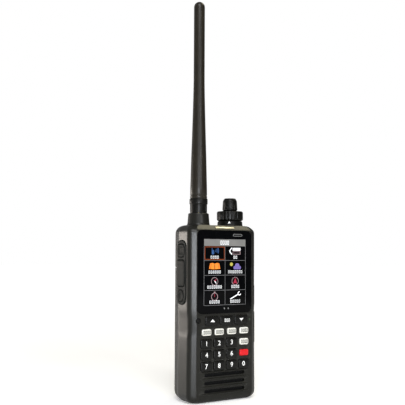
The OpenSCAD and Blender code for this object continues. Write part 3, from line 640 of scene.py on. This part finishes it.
def build_key(node):
    """A pillowed cap with a round edge, its flange, and the post down to the dome."""
    low, high = box_mm(node)
    sides = (low.x + KEY_FLANGE, low.z + KEY_FLANGE, high.x - KEY_FLANGE, high.z - KEY_FLANGE)
    x0, z0, x1, z1 = sides
    flange_back, flange_front = (FRONT_Y + depth for depth in FLANGE_DEPTHS)
    rings = [ring_at(*sides, flange_back, KEY_FLANGE), ring_at(*sides, flange_front, KEY_FLANGE),
             ring_at(*sides, flange_front, 0)]
    start = low.y + KEY_EDGE
    for step in range(7):
        turn = math.radians(15 * step)
        rings.append(ring_at(*sides, start - (KEY_EDGE - KEY_CROWN) * math.sin(turn),
                             -KEY_EDGE * (1 - math.cos(turn))))
    half = min(x1 - x0, z1 - z0) / 2
    for share, fall in ((0.4, 0.35), (0.55, 0.1), (0.7, 0)):
        rings.append(ring_at(*sides, low.y + KEY_CROWN * fall, -half * share))
    bm = bmesh.new()
    bm.from_mesh(rings_mesh(rings, node))
    post = disc((x0 + x1) / 2, (z0 + z1) / 2, KEY_POST_R, POST_SIDES)
    prism(bm, post, flange_back - 0.1, high.y)
    add_piece(node + "_cap", scaled(mesh_of(bm, node)), body_of(node), slot_of(node),
              stands_for=[node])


def numeral(node, shift):
    """A plain numeral standing on its key, moved left by shift from the middle."""
    name = node + "_numeral"
    x, y, z = cap_front(node)
    x -= shift
    z += NUMERAL_RISE
    curve = bpy.data.curves.new(name, "FONT")
    curve.body = node[4:]
    curve.size = NUMERAL_H / NUMERAL_SHARE * MM
    curve.offset = NUMERAL_OUTLINE * MM
    curve.extrude = PRINT_T / 2 * MM
    curve.resolution_u = 5
    helper = bpy.data.objects.new(name + "_curve", curve)
    bpy.context.scene.collection.objects.link(helper)
    graph = bpy.context.evaluated_depsgraph_get()
    mesh = bpy.data.meshes.new_from_object(helper.evaluated_get(graph))
    bpy.data.objects.remove(helper)
    across = [v.co.x for v in mesh.vertices]
    upward = [v.co.y for v in mesh.vertices]
    centre = ((min(across) + max(across)) / 2, (min(upward) + max(upward)) / 2, 0)
    mesh.transform(Matrix.Translation(-Vector(centre)))
    mesh.transform(Matrix.Rotation(math.radians(90), 4, "X"))
    mesh.transform(Matrix.Translation((x * MM, (y - PRINT_T / 2) * MM, z * MM)))
    add_piece(name, mesh, body_of(node), slot_of(node), EXTRA["print_white"])


def key_print(node):
    """An arrow on the up and down keys; rows of blocks for the words on the others."""
    slot = slot_of(node)
    x, y, z = cap_front(node)
    if node == "key_up":
        shapes = [[(x - 2.1, z - 0.8), (x + 2.1, z - 0.8), (x, z + 1.2)]]
    elif node == "key_down":
        shapes = [[(x - 1.9, z + 1.1), (x, z - 0.9), (x + 1.9, z + 1.1)]]
    elif node == "key_enter":
        shapes = glyphs(x, z, 3, 1.2, 2.4, 0.5, 0.34)
    else:
        shapes = glyphs(x, z, 4, 1.3, 2.8, 0.36, 0.45)
    tint = EXTRA["print_grey"] if slot == "key_pale" else EXTRA["print_white"]
    flat_piece(node + "_print", shapes, y - PRINT_T, y + PRINT_ROOT, body_of(node), slot, tint)


def build_keys():
    for node in [n for n in NODES if n.startswith("key_") and n != "key_domes"]:
        build_key(node)
        if node[4:].isdigit():
            numeral(node, ZERO_SHIFT if node == "key_0" else NUMERAL_SHIFT)
        elif slot_of(node) != "key_red":
            key_print(node)


# ---- Display ----

# Each layer of the picture stands this much further forward; all reach back to the same depth.
LAYER = 0.02
SCREEN_ROOT = 0.05
SCREEN_LEFT, SCREEN_RIGHT = -18.7, 18.9
SCREEN_LOW, SCREEN_HIGH = 72.3, 122.2
MIDDLE_X = 0.1
HEADER_LOW = 117.0
# The header's lower edge, then the lower edges of the four rows of fields.
ROWS = [HEADER_LOW, 106.0, 94.8, 83.5, SCREEN_LOW]
GRID_LINE = 0.34
LEFT_ICON, RIGHT_ICON = -9.3, 9.4
LABEL_RISE = 2.5
LABEL_COUNTS = [(4, 2), (6, 7), (7, 4), (5, 5)]
DIAL_R = 3.1
DIAL_LINE = 0.32


def screen_piece(name, outlines, colour, layer=1):
    """Flat shapes of one colour in the screen's picture."""
    flat_piece("screen_" + name, outlines, FRONT_Y - LAYER * layer, FRONT_Y + SCREEN_ROOT,
               "radio_body", "lcd", EXTRA[colour])


def build_grid():
    """The header with its title, and the lines between the fields."""
    centre_x, width = (SCREEN_LEFT + SCREEN_RIGHT) / 2, SCREEN_RIGHT - SCREEN_LEFT
    header_z = (HEADER_LOW + SCREEN_HIGH) / 2
    screen_piece("header", [bar(centre_x, header_z, width, SCREEN_HIGH - HEADER_LOW)],
                 "screen_grey")
    screen_piece("header_mark", glyphs(-0.3, header_z, 4, 1.5, 3.1, 0.55, 0.36), "screen_white", 2)
    lines = [bar(centre_x, z, width, GRID_LINE) for z in ROWS[1:]]
    lines += [bar(x, (SCREEN_LOW + HEADER_LOW) / 2, GRID_LINE, HEADER_LOW - SCREEN_LOW)
              for x in (SCREEN_LEFT, MIDDLE_X, SCREEN_RIGHT)]
    screen_piece("grid", lines, "screen_line")


def build_chosen_frame():
    """The frame round the field at the top left."""
    top, base = ROWS[0] - 0.5, ROWS[1] + 0.6
    w, h = MIDDLE_X - SCREEN_LEFT - 0.9, top - base
    cx, cz = (SCREEN_LEFT + MIDDLE_X) / 2, (top + base) / 2
    line = 0.5
    side = (w - line) / 2
    screen_piece("chosen", [bar(cx, top - line / 2, w, line), bar(cx, base + line / 2, w, line),
                            bar(cx - side, cz, line, h), bar(cx + side, cz, line, h)],
                 "screen_frame", 2)


def build_labels():
    """A row of blocks under each icon, in the place of its word."""
    for i, counts in enumerate(LABEL_COUNTS):
        z = ROWS[i + 1] + LABEL_RISE
        for side, x, count in zip(("left", "right"), (LEFT_ICON, RIGHT_ICON), counts):
            screen_piece(f"label_{side}_{i + 1}", glyphs(x, z, count, 1.2, 2.2, 0.72, 0.27),
                         "screen_white", 2)


def handset_icon(x, z):
    screen_piece("handset", [bar(x - 1.6, z - 0.6, 2.1, 3.4, 0.5), bar(x - 2.3, z + 1.8, 0.5, 1.7)],
                 "screen_blue", 2)
    waves = []
    for r in (1.6, 2.8, 4.0):
        waves += band(x - 0.2, z + 0.4, r, 0.6, -32, 38, 8)
    screen_piece("waves", waves, "screen_blue", 3)


def chevron_icon(x, z):
    chevron = stroke([(x - 3.1, z + 2.9), (x - 5.3, z + 0.3), (x - 3.1, z - 2.3)], 0.8)
    screen_piece("chevron", chevron + [bar(x + 1.2, z + 1.7, 7.2, 2.2)], "screen_white", 2)
    x0, x1, z0, z1 = x - 2.2, x + 4.6, z - 2.1, z - 0.1
    screen_piece("outline_bar", stroke([(x0, z0), (x1, z0), (x1, z1), (x0, z1), (x0, z0)], 0.4),
                 "screen_rose", 3)


def page_icon(x, z):
    """An open book: two pages, each with two lines."""
    for side, name in ((-1, "left"), (1, "right")):
        page = [(x, z - 2.2), (x + side * 5.0, z - 1.8), (x + side * 4.0, z + 2.4),
                (x + side * 2.0, z + 2.7), (x, z + 2.1)]
        screen_piece("page_" + name, [page[::side]], "screen_orange", 2)
        fold = stroke([(x + side * 0.2, z - 2.1), (x + side * 0.2, z + 2.0)], 0.3)
        edge = stroke([(x + side * 3.8, z - 1.8), (x + side * 3.0, z + 2.3)], 0.3)
        screen_piece("page_lines_" + name, fold + edge, "screen_frame", 3)


def weather_icon(x, z):
    screen_piece("sun", [disc(x - 3.5, z + 1.6, 1.4)], "screen_yellow", 2)
    screen_piece("cloud", [disc(x + 1.9, z + 0.4, 2.0)], "screen_purple", 3)
    screen_piece("cloud_sides", [disc(x - 0.4, z - 1.0, 1.3), disc(x + 4.1, z - 1.0, 1.3)],
                 "screen_purple", 4)
    screen_piece("cloud_foot", [bar(x + 1.8, z - 1.5, 5.6, 1.6)], "screen_purple", 5)


def compass_icon(x, z):
    screen_piece("compass", band(x, z, DIAL_R, DIAL_LINE), "screen_rose", 2)
    screen_piece("needle", [[(x - 0.6, z + 0.4), (x + 1.9, z - 2.2), (x + 0.6, z + 0.6)]],
                 "screen_white", 3)
    screen_piece("needle_tip", [[(x + 0.4, z - 0.4), (x + 1.9, z + 2.0), (x - 0.5, z + 0.6)]],
                 "screen_red", 4)


def bearing_icon(x, z):
    screen_piece("bearing", band(x, z, DIAL_R, DIAL_LINE), "screen_rose", 2)
    screen_piece("arrow", [[(x - 2.0, z - 2.2), (x, z - 1.3), (x, z + 2.6)],
                           [(x, z - 1.3), (x + 2.0, z - 2.2), (x, z + 2.6)]], "screen_red", 3)


def stopwatch_icon(x, z):
    screen_piece("stopwatch", band(x, z - 0.2, 3.0, 0.45) + [bar(x, z + 3.2, 1.3, 0.8)],
                 "screen_rose", 2)
    screen_piece("stopwatch_hand", stroke([(x, z - 0.3), (x, z + 1.7)], 0.4), "screen_red", 3)


def wrench_icon(x, z):
    screen_piece("wrench", stroke([(x - 4.6, z - 2.4), (x + 2.9, z + 1.2)], 0.78), "screen_white", 2)
    screen_piece("wrench_jaws", band(x + 3.9, z + 1.8, 1.6, 0.68, 75, 345, 16), "screen_white", 3)


# The left and the right icon of each row, and their height above the row's lower edge.
ICONS = [(handset_icon, chevron_icon, 6.9), (page_icon, weather_icon, 6.7),
         (compass_icon, bearing_icon, 6.7), (stopwatch_icon, wrench_icon, 6.6)]


def build_window_print():
    """An outlined tag at the window's top right, and two ticks under the screen."""
    left, right, z, r, line = 8.3, 15.0, 125.5, 0.9, 0.3
    tag = band(left, z, r, line, 90, 270, 10) + band(right, z, r, line, -90, 90, 10)
    tag += [bar((left + right) / 2, z + side * (r - line / 2), right - left, line)
            for side in (1, -1)]
    ticks = [bar(x, 69.6, 0.9, 1.1) for x in (-0.5, 3.0)]
    for name, shapes in (("window_mark", tag), ("window_ticks", ticks)):
        flat_piece(name, shapes, FRONT_Y - PRINT_T, FRONT_Y + SCREEN_ROOT, "radio_body", "window",
                   EXTRA["print_dim"])


def build_screen():
    softened("display_window", 0.12)
    build_grid()
    build_chosen_frame()
    build_labels()
    for row, (left_icon, right_icon, rise) in zip(ROWS[1:], ICONS):
        left_icon(LEFT_ICON, row + rise)
        right_icon(RIGHT_ICON, row + rise)
    build_window_print()


# ---- Top: antenna and knobs ----

# Heights on the antenna: the sleeve's ends, the whip's foot, the top of the spigot in the whip.
SLEEVE_LOW = COLLAR_TOP + 0.3
SLEEVE_TOP = 149.0
WHIP_FOOT = 153.5
SPIGOT_TOP = 165.0
SLEEVE_R = 6.6
SLEEVE_RING_R = 7.05
RIBS = 6
RIB_R = 0.38
RIB_H = 5.2
RIB_EDGE = 0.12
RIB_MIDDLE = 146.0
RIB_TURN = -35
# The whip's bore for its rod ends at ROD_TOP, and its tip is a half ball of WHIP_TIP_R.
ROD_TOP = 300.3
WHIP_TIP_R = 4.3
# A profile that closes on the axis stops this far from it.
AXIS = 0.001
INDEX_TURN = -36


def build_sleeve():
    """The antenna's base: a smooth sleeve, a wider ring and the spigot that holds the whip."""
    bore, spigot_r, rod_r = 3.25, 4.0, 1.3
    profile = [(bore, SLEEVE_LOW), (SLEEVE_R - 0.3, SLEEVE_LOW), (SLEEVE_R - 0.05, SLEEVE_LOW + 0.12),
               (SLEEVE_R, SLEEVE_LOW + 0.4), (SLEEVE_R, SLEEVE_TOP), (6.68, SLEEVE_TOP + 0.12),
               (6.98, SLEEVE_TOP + 0.42), (SLEEVE_RING_R, SLEEVE_TOP + 0.7),
               (SLEEVE_RING_R, WHIP_FOOT - 0.5), (6.98, WHIP_FOOT - 0.2), (6.8, WHIP_FOOT - 0.02),
               (spigot_r, WHIP_FOOT), (spigot_r, SPIGOT_TOP), (rod_r, SPIGOT_TOP),
               (rod_r, SLEEVE_TOP + 0.2), (bore, SLEEVE_TOP - 0.8)]
    lathe("antenna_sleeve", profile, WHIP.x, WHIP.y, "antenna", "knob", ["antenna_base"])


def build_ribs():
    """Round ribs up the side of the sleeve, for the fingers."""
    for i in range(RIBS):
        turn = math.radians(360 / RIBS * i + RIB_TURN)
        place = (WHIP.x + SLEEVE_R * math.sin(turn), WHIP.y - SLEEVE_R * math.cos(turn), RIB_MIDDLE)
        bm = bmesh.new()
        bmesh.ops.create_cone(bm, cap_ends=True, segments=16, radius1=RIB_R, radius2=RIB_R,
                              depth=RIB_H)
        bmesh.ops.translate(bm, verts=bm.verts, vec=place)
        round_edges(bm, RIB_EDGE)
        add_piece(f"antenna_rib_{i + 1}", scaled(mesh_of(bm, "rib")), "antenna", "knob")


def build_whip():
    """The tapering cover of the whip: a lipped foot, a long slim side and a round end."""
    top = box_mm("antenna_whip")[1].z
    foot = [(6.1, 0), (6.4, 0.22), (6.62, 0.6), (6.62, 1.75), (6.45, 2.0), (6.28, 2.2),
            (6.28, 2.45), (6.45, 2.7), (6.58, 2.95)]
    foot = [(r, WHIP_FOOT + rise) for r, rise in foot]
    side = [(6.50, 162), (6.28, 170), (6.08, 178), (5.92, 185), (5.53, 197), (5.17, 209),
            (4.84, 221), (4.54, 233), (4.32, 246), (WHIP_TIP_R, 275), (WHIP_TIP_R, top - WHIP_TIP_R)]
    tip = [(WHIP_TIP_R * math.cos(math.radians(a)),
            top - WHIP_TIP_R + WHIP_TIP_R * math.sin(math.radians(a))) for a in range(10, 90, 10)]
    rod_r, spigot_r, hollow_top = 1.25, 4.05, SPIGOT_TOP - 1
    inside = [(AXIS, top), (AXIS, ROD_TOP + 0.1), (rod_r, ROD_TOP), (rod_r, hollow_top),
              (spigot_r, hollow_top), (spigot_r, WHIP_FOOT)]
    lathe("whip_cover", foot + side + tip + inside, WHIP.x, WHIP.y, "antenna", "whip",
          ["antenna_whip"])


def build_index():
    """A small pointer on the knobs' shoulder, turned to the front left."""
    low, tip, outer, inner = 134.9, 136.7, 9.95, 9.3
    mark = flat_piece("squelch_index", [[(-1.0, low), (1.0, low), (0, tip)]], -outer, -inner,
                      "radio_body", "knob", EXTRA["print_white"])
    mark.data.transform(Matrix.Translation((KNOB.x * MM, KNOB.y * MM, 0))
                        @ Matrix.Rotation(math.radians(INDEX_TURN), 4, "Z"))


def build_dish():
    """The shallow rimmed dish in the volume knob's top."""
    top = box_mm("volume_knob")[1].z
    profile = [(AXIS, top - 0.2), (4.3, top - 0.2), (4.35, top - 0.02), (4.2, top + 0.06),
               (3.9, top + 0.04), (3.6, top - 0.1), (AXIS, top - 0.12)]
    lathe("volume_dish", profile, KNOB.x, KNOB.y, "volume", "knob")


def build_top():
    build_sleeve()
    build_ribs()
    build_whip()
    softened("volume_knob", 0.22, 30)
    softened("squelch_knob", 0.22, 30)
    build_index()
    build_dish()


# ---- Sides, back and the rest ----

# A side button's flange is wider than its cap and lies FLANGE_IN from the body's side.
SIDE_FLANGE = 0.6
FLANGE_IN = 2.9
SIDE_R = 3.5
BOTTOM_R = 4.6
SIDE_LEAST_R = 0.3
DISH = 0.5
SIDE_EDGE = 0.9
SIDE_DOME = 0.15
SIDE_LEAN = math.tan(math.radians(14))
STEM_R = 2
# The button's face from its rim inwards: distance in, and share of the dome's rise there.
FACE = [(1.5, 0.6), (2.1, 0.85), (2.7, 1.0), (3.3, 1.0), (3.9, 1.0)]
# The remaining CAD pieces whose edges are rounded, and by how much.
SOFT_EDGES = {"name_plate": 0.12, "status_led": 0.1, "case_screws": 0.1, "case_gasket": 0.1,
              "speaker_frame": 0.1, "speaker_mesh": 0.05}
LIP_REACH = 21.6
LIP_STATIONS = 24
# Height of each lip from the speaker's middle, and how much half of it widens from its ends.
LIPS = [(-8.05, 0.35), (-2.95, 0.8), (2.95, 0.8), (8.05, 0.35)]


def side_ring(y0, z0, y1, z1, r, x, inset):
    """A rounded outline on the left side, leaning in with the body where its side tapers."""
    outline = rounded_box_outline(y0 + inset, z0 + inset, y1 - inset, z1 - inset,
                                  max(SIDE_LEAST_R, r - inset), CORNER_STEP)
    return [(x + max(0, y - TAPER_Y) * SIDE_LEAN, y, z) for y, z in outline]


def build_side_button(node, r, dish):
    """A rubber cap with a round edge and a domed or dished face, its flange and its stem."""
    low, high = box_mm(node)
    y0, y1 = low.y + SIDE_FLANGE, high.y - SIDE_FLANGE
    z0, z1 = low.z + SIDE_FLANGE, high.z - SIDE_FLANGE
    cap = (y0, z0, y1, z1, r)
    flange_x = -HALF_W + FLANGE_IN
    rings = [side_ring(*cap, flange_x + 0.6, -SIDE_FLANGE), side_ring(*cap, flange_x, -SIDE_FLANGE),
             side_ring(*cap, flange_x, 0)]
    for step in range(7):
        turn = math.radians(15 * step)
        rings.append(side_ring(*cap, low.x + SIDE_DOME + SIDE_EDGE * (1 - math.sin(turn)),
                               SIDE_EDGE * (1 - math.cos(turn))))
    rim, centre = FACE[0][0], FACE[-1][0]
    for inset, share in FACE:
        depth = SIDE_DOME * (1 - share)
        if dish:
            depth = SIDE_DOME + dish * math.sin(math.pi / 2 * (inset - rim) / (centre - rim))
        rings.append(side_ring(*cap, low.x + depth, inset))
    bm = bmesh.new()
    bm.from_mesh(rings_mesh(rings, node))
    stem = disc((y0 + y1) / 2, (z0 + z1) / 2, STEM_R, POST_SIDES)
    ends = [[bm.verts.new((x, y, z)) for y, z in stem] for x in (flange_x + 0.5, high.x)]
    join_loops(bm, *ends)
    bm.faces.new(ends[0])
    bm.faces.new(ends[1][::-1])
    add_piece(node + "_cap", scaled(mesh_of(bm, node)), body_of(node), slot_of(node),
              stands_for=[node])


def build_sides():
    softened("side_pad", 0.3, 30, 3)
    build_side_button("ptt_button", SIDE_R, 0)
    build_side_button("side_button_top", SIDE_R, DISH)
    build_side_button("side_button_bottom", BOTTOM_R, DISH)
    for node in ("jack_cover_upper", "jack_cover_lower"):
        softened(node, 0.28, 30, 3)


def build_louvres():
    """Four low lips that edge the speaker slots, tapering into the face at each end."""
    middle_z = middle("speaker_mesh").z
    root, end_half, end_proud, rise = 0.4, 0.2, 0.02, 0.75
    for i, (offset, height) in enumerate(LIPS):
        rings = []
        for k in range(LIP_STATIONS + 1):
            along = 2 * k / LIP_STATIONS - 1
            full = math.sqrt(max(0.0, 1 - along ** 6))
            half, proud = end_half + height * full, end_proud + rise * full
            rings.append([(along * LIP_REACH,
                           FRONT_Y + root - (root + proud) * math.sin(math.radians(a)),
                           middle_z + offset - half * math.cos(math.radians(a)))
                          for a in range(0, 181, 15)])
        add_piece(f"speaker_lip_{i + 1}", scaled(rings_mesh(rings, "lip")), "radio_body", "case")


def build_rest():
    for node, width in SOFT_EDGES.items():
        softened(node, width)


def colour_cad_pieces():
    """Gives every CAD piece the material of its slot."""
    for node in NODES:
        NODES[node].data.materials.clear()
        NODES[node].data.materials.append(MATERIALS[slot_of(node)])


build_casing()
build_microphone_port()
build_keys()
build_screen()
build_top()
build_sides()
build_louvres()
build_rest()
colour_cad_pieces()

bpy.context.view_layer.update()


# ---- Stage, light and camera, in metres and degrees ----

FLOOR_R = 6
FLOOR_DROP = 0.0002
# Distance from the middle over which the floor's own light grows, and its strengths there.
FLOOR_FADE = (("From Min", 0.25), ("From Max", 1.2), ("To Min", 0.3), ("To Max", 0.8))
# The surround's direction from left to right, and its strengths on the two sides.
WORLD_FADE = (("From Min", -0.6), ("From Max", 0.9), ("To Min", 0.42), ("To Max", 0.14))
CAMERA_TURN = math.radians(31)
CAMERA_PITCH = math.radians(4.2)
CAMERA_ROLL = math.radians(0.25)
CAMERA_AT = (-0.29157, -0.46795, 0.11099)
FOCAL_LENGTH = 62.15
SENSOR_WIDTH = 36


def floor_material():
    """A pale matt floor that the view sees fade to white away from the object."""
    mat = bpy.data.materials.new("floor")
    mat.use_nodes = True
    tree = mat.node_tree
    shader = tree.nodes["Principled BSDF"]
    shader.inputs["Base Color"].default_value = (0.90, 0.90, 0.90, 1)
    shader.inputs["Roughness"].default_value = 0.6
    shader.inputs["Emission Color"].default_value = (1, 1, 1, 1)
    place = tree.nodes.new("ShaderNodeTexCoord")
    far = tree.nodes.new("ShaderNodeVectorMath")
    far.operation = "LENGTH"
    fade = tree.nodes.new("ShaderNodeMapRange")
    for socket, value in FLOOR_FADE:
        fade.inputs[socket].default_value = value
    path = tree.nodes.new("ShaderNodeLightPath")
    seen = tree.nodes.new("ShaderNodeMath")
    seen.operation = "MULTIPLY"
    link = tree.links.new
    link(place.outputs["Object"], far.inputs[0])
    link(far.outputs["Value"], fade.inputs["Value"])
    link(fade.outputs["Result"], seen.inputs[0])
    link(path.outputs["Is Camera Ray"], seen.inputs[1])
    link(seen.outputs["Value"], shader.inputs["Emission Strength"])
    return mat


def build_stage():
    """A pale round floor, wide enough for every view."""
    bm = bmesh.new()
    bmesh.ops.create_circle(bm, cap_ends=True, segments=96, radius=FLOOR_R)
    bmesh.ops.translate(bm, verts=bm.verts, vec=(0, 0, -FLOOR_DROP))
    mesh = mesh_of(bm, "floor")
    mesh.materials.append(floor_material())
    floor = bpy.data.objects.new("floor", mesh)
    bpy.context.scene.collection.objects.link(floor)


def area_light(name, at, aim, size, power, colour=(1, 1, 1)):
    """A rectangle of light at one point, facing another; its power is in watts."""
    light = bpy.data.lights.new(name, "AREA")
    light.shape = "RECTANGLE"
    light.size, light.size_y = size
    light.energy = power
    light.color = colour
    holder = bpy.data.objects.new(name, light)
    holder.location = at
    holder.rotation_euler = (Vector(aim) - Vector(at)).to_track_quat("-Z", "Y").to_euler()
    holder.visible_camera = False
    bpy.context.scene.collection.objects.link(holder)


def build_light():
    area_light("key_light", (-0.35, -0.70, 0.95), (0, 0, 0.10), (0.5, 0.5), 8)
    area_light("back_left_light", (-0.52, 0.80, 0.05), (0, 0, 0.05), (0.45, 0.34), 5.0,
               (1, 0.92, 0.84))
    area_light("front_left_light", (-0.42, -0.80, 0.09), (0, 0, 0.03), (0.14, 0.16), 5.0,
               (0.90, 0.94, 1))
    area_light("top_light", (0.50, 0.04, 0.95), (0, 0, 0.13), (0.35, 0.35), 2.4, (1, 0.92, 0.66))
    area_light("front_light", (0.02, -0.80, 0.34), (-0.0154, 0, 0.14), (0.06, 0.12), 1.2)


def build_world():
    """A soft surround, white where the view meets it, that lights more from the left than the right."""
    world = bpy.data.worlds.new("world")
    world.use_nodes = True
    tree = world.node_tree
    link = tree.links.new
    surround = tree.nodes["Background"]
    surround.inputs["Color"].default_value = (1, 1, 1, 1)
    place = tree.nodes.new("ShaderNodeTexCoord")
    split = tree.nodes.new("ShaderNodeSeparateXYZ")
    fade = tree.nodes.new("ShaderNodeMapRange")
    for socket, value in WORLD_FADE:
        fade.inputs[socket].default_value = value
    link(place.outputs["Generated"], split.inputs["Vector"])
    link(split.outputs["X"], fade.inputs["Value"])
    link(fade.outputs["Result"], surround.inputs["Strength"])
    backdrop = tree.nodes.new("ShaderNodeBackground")
    backdrop.inputs["Color"].default_value = (1, 1, 1, 1)
    path = tree.nodes.new("ShaderNodeLightPath")
    choose = tree.nodes.new("ShaderNodeMixShader")
    link(path.outputs["Is Camera Ray"], choose.inputs["Fac"])
    link(surround.outputs["Background"], choose.inputs[1])
    link(backdrop.outputs["Background"], choose.inputs[2])
    link(choose.outputs["Shader"], tree.nodes["World Output"].inputs["Surface"])
    bpy.context.scene.world = world
    bpy.context.scene.view_settings.view_transform = "Standard"


def build_camera():
    """Looks up a little at the radio from its left, at the photo's angle."""
    level = math.cos(CAMERA_PITCH)
    ahead = Vector((math.sin(CAMERA_TURN) * level, math.cos(CAMERA_TURN) * level,
                    math.sin(CAMERA_PITCH)))
    across = Vector((math.cos(CAMERA_TURN), -math.sin(CAMERA_TURN), 0))
    up = across.cross(ahead)
    right = math.cos(CAMERA_ROLL) * across + math.sin(CAMERA_ROLL) * up
    up = -math.sin(CAMERA_ROLL) * across + math.cos(CAMERA_ROLL) * up
    lens = bpy.data.cameras.new("camera")
    lens.lens = FOCAL_LENGTH
    lens.sensor_width = SENSOR_WIDTH
    lens.clip_start = 0.01
    camera = bpy.data.objects.new("camera", lens)
    basis = Matrix((right, up, -ahead)).transposed().to_4x4()
    basis.translation = Vector(CAMERA_AT)
    camera.matrix_world = basis
    bpy.context.scene.collection.objects.link(camera)
    bpy.context.scene.camera = camera


build_stage()
build_light()
build_world()
build_camera()
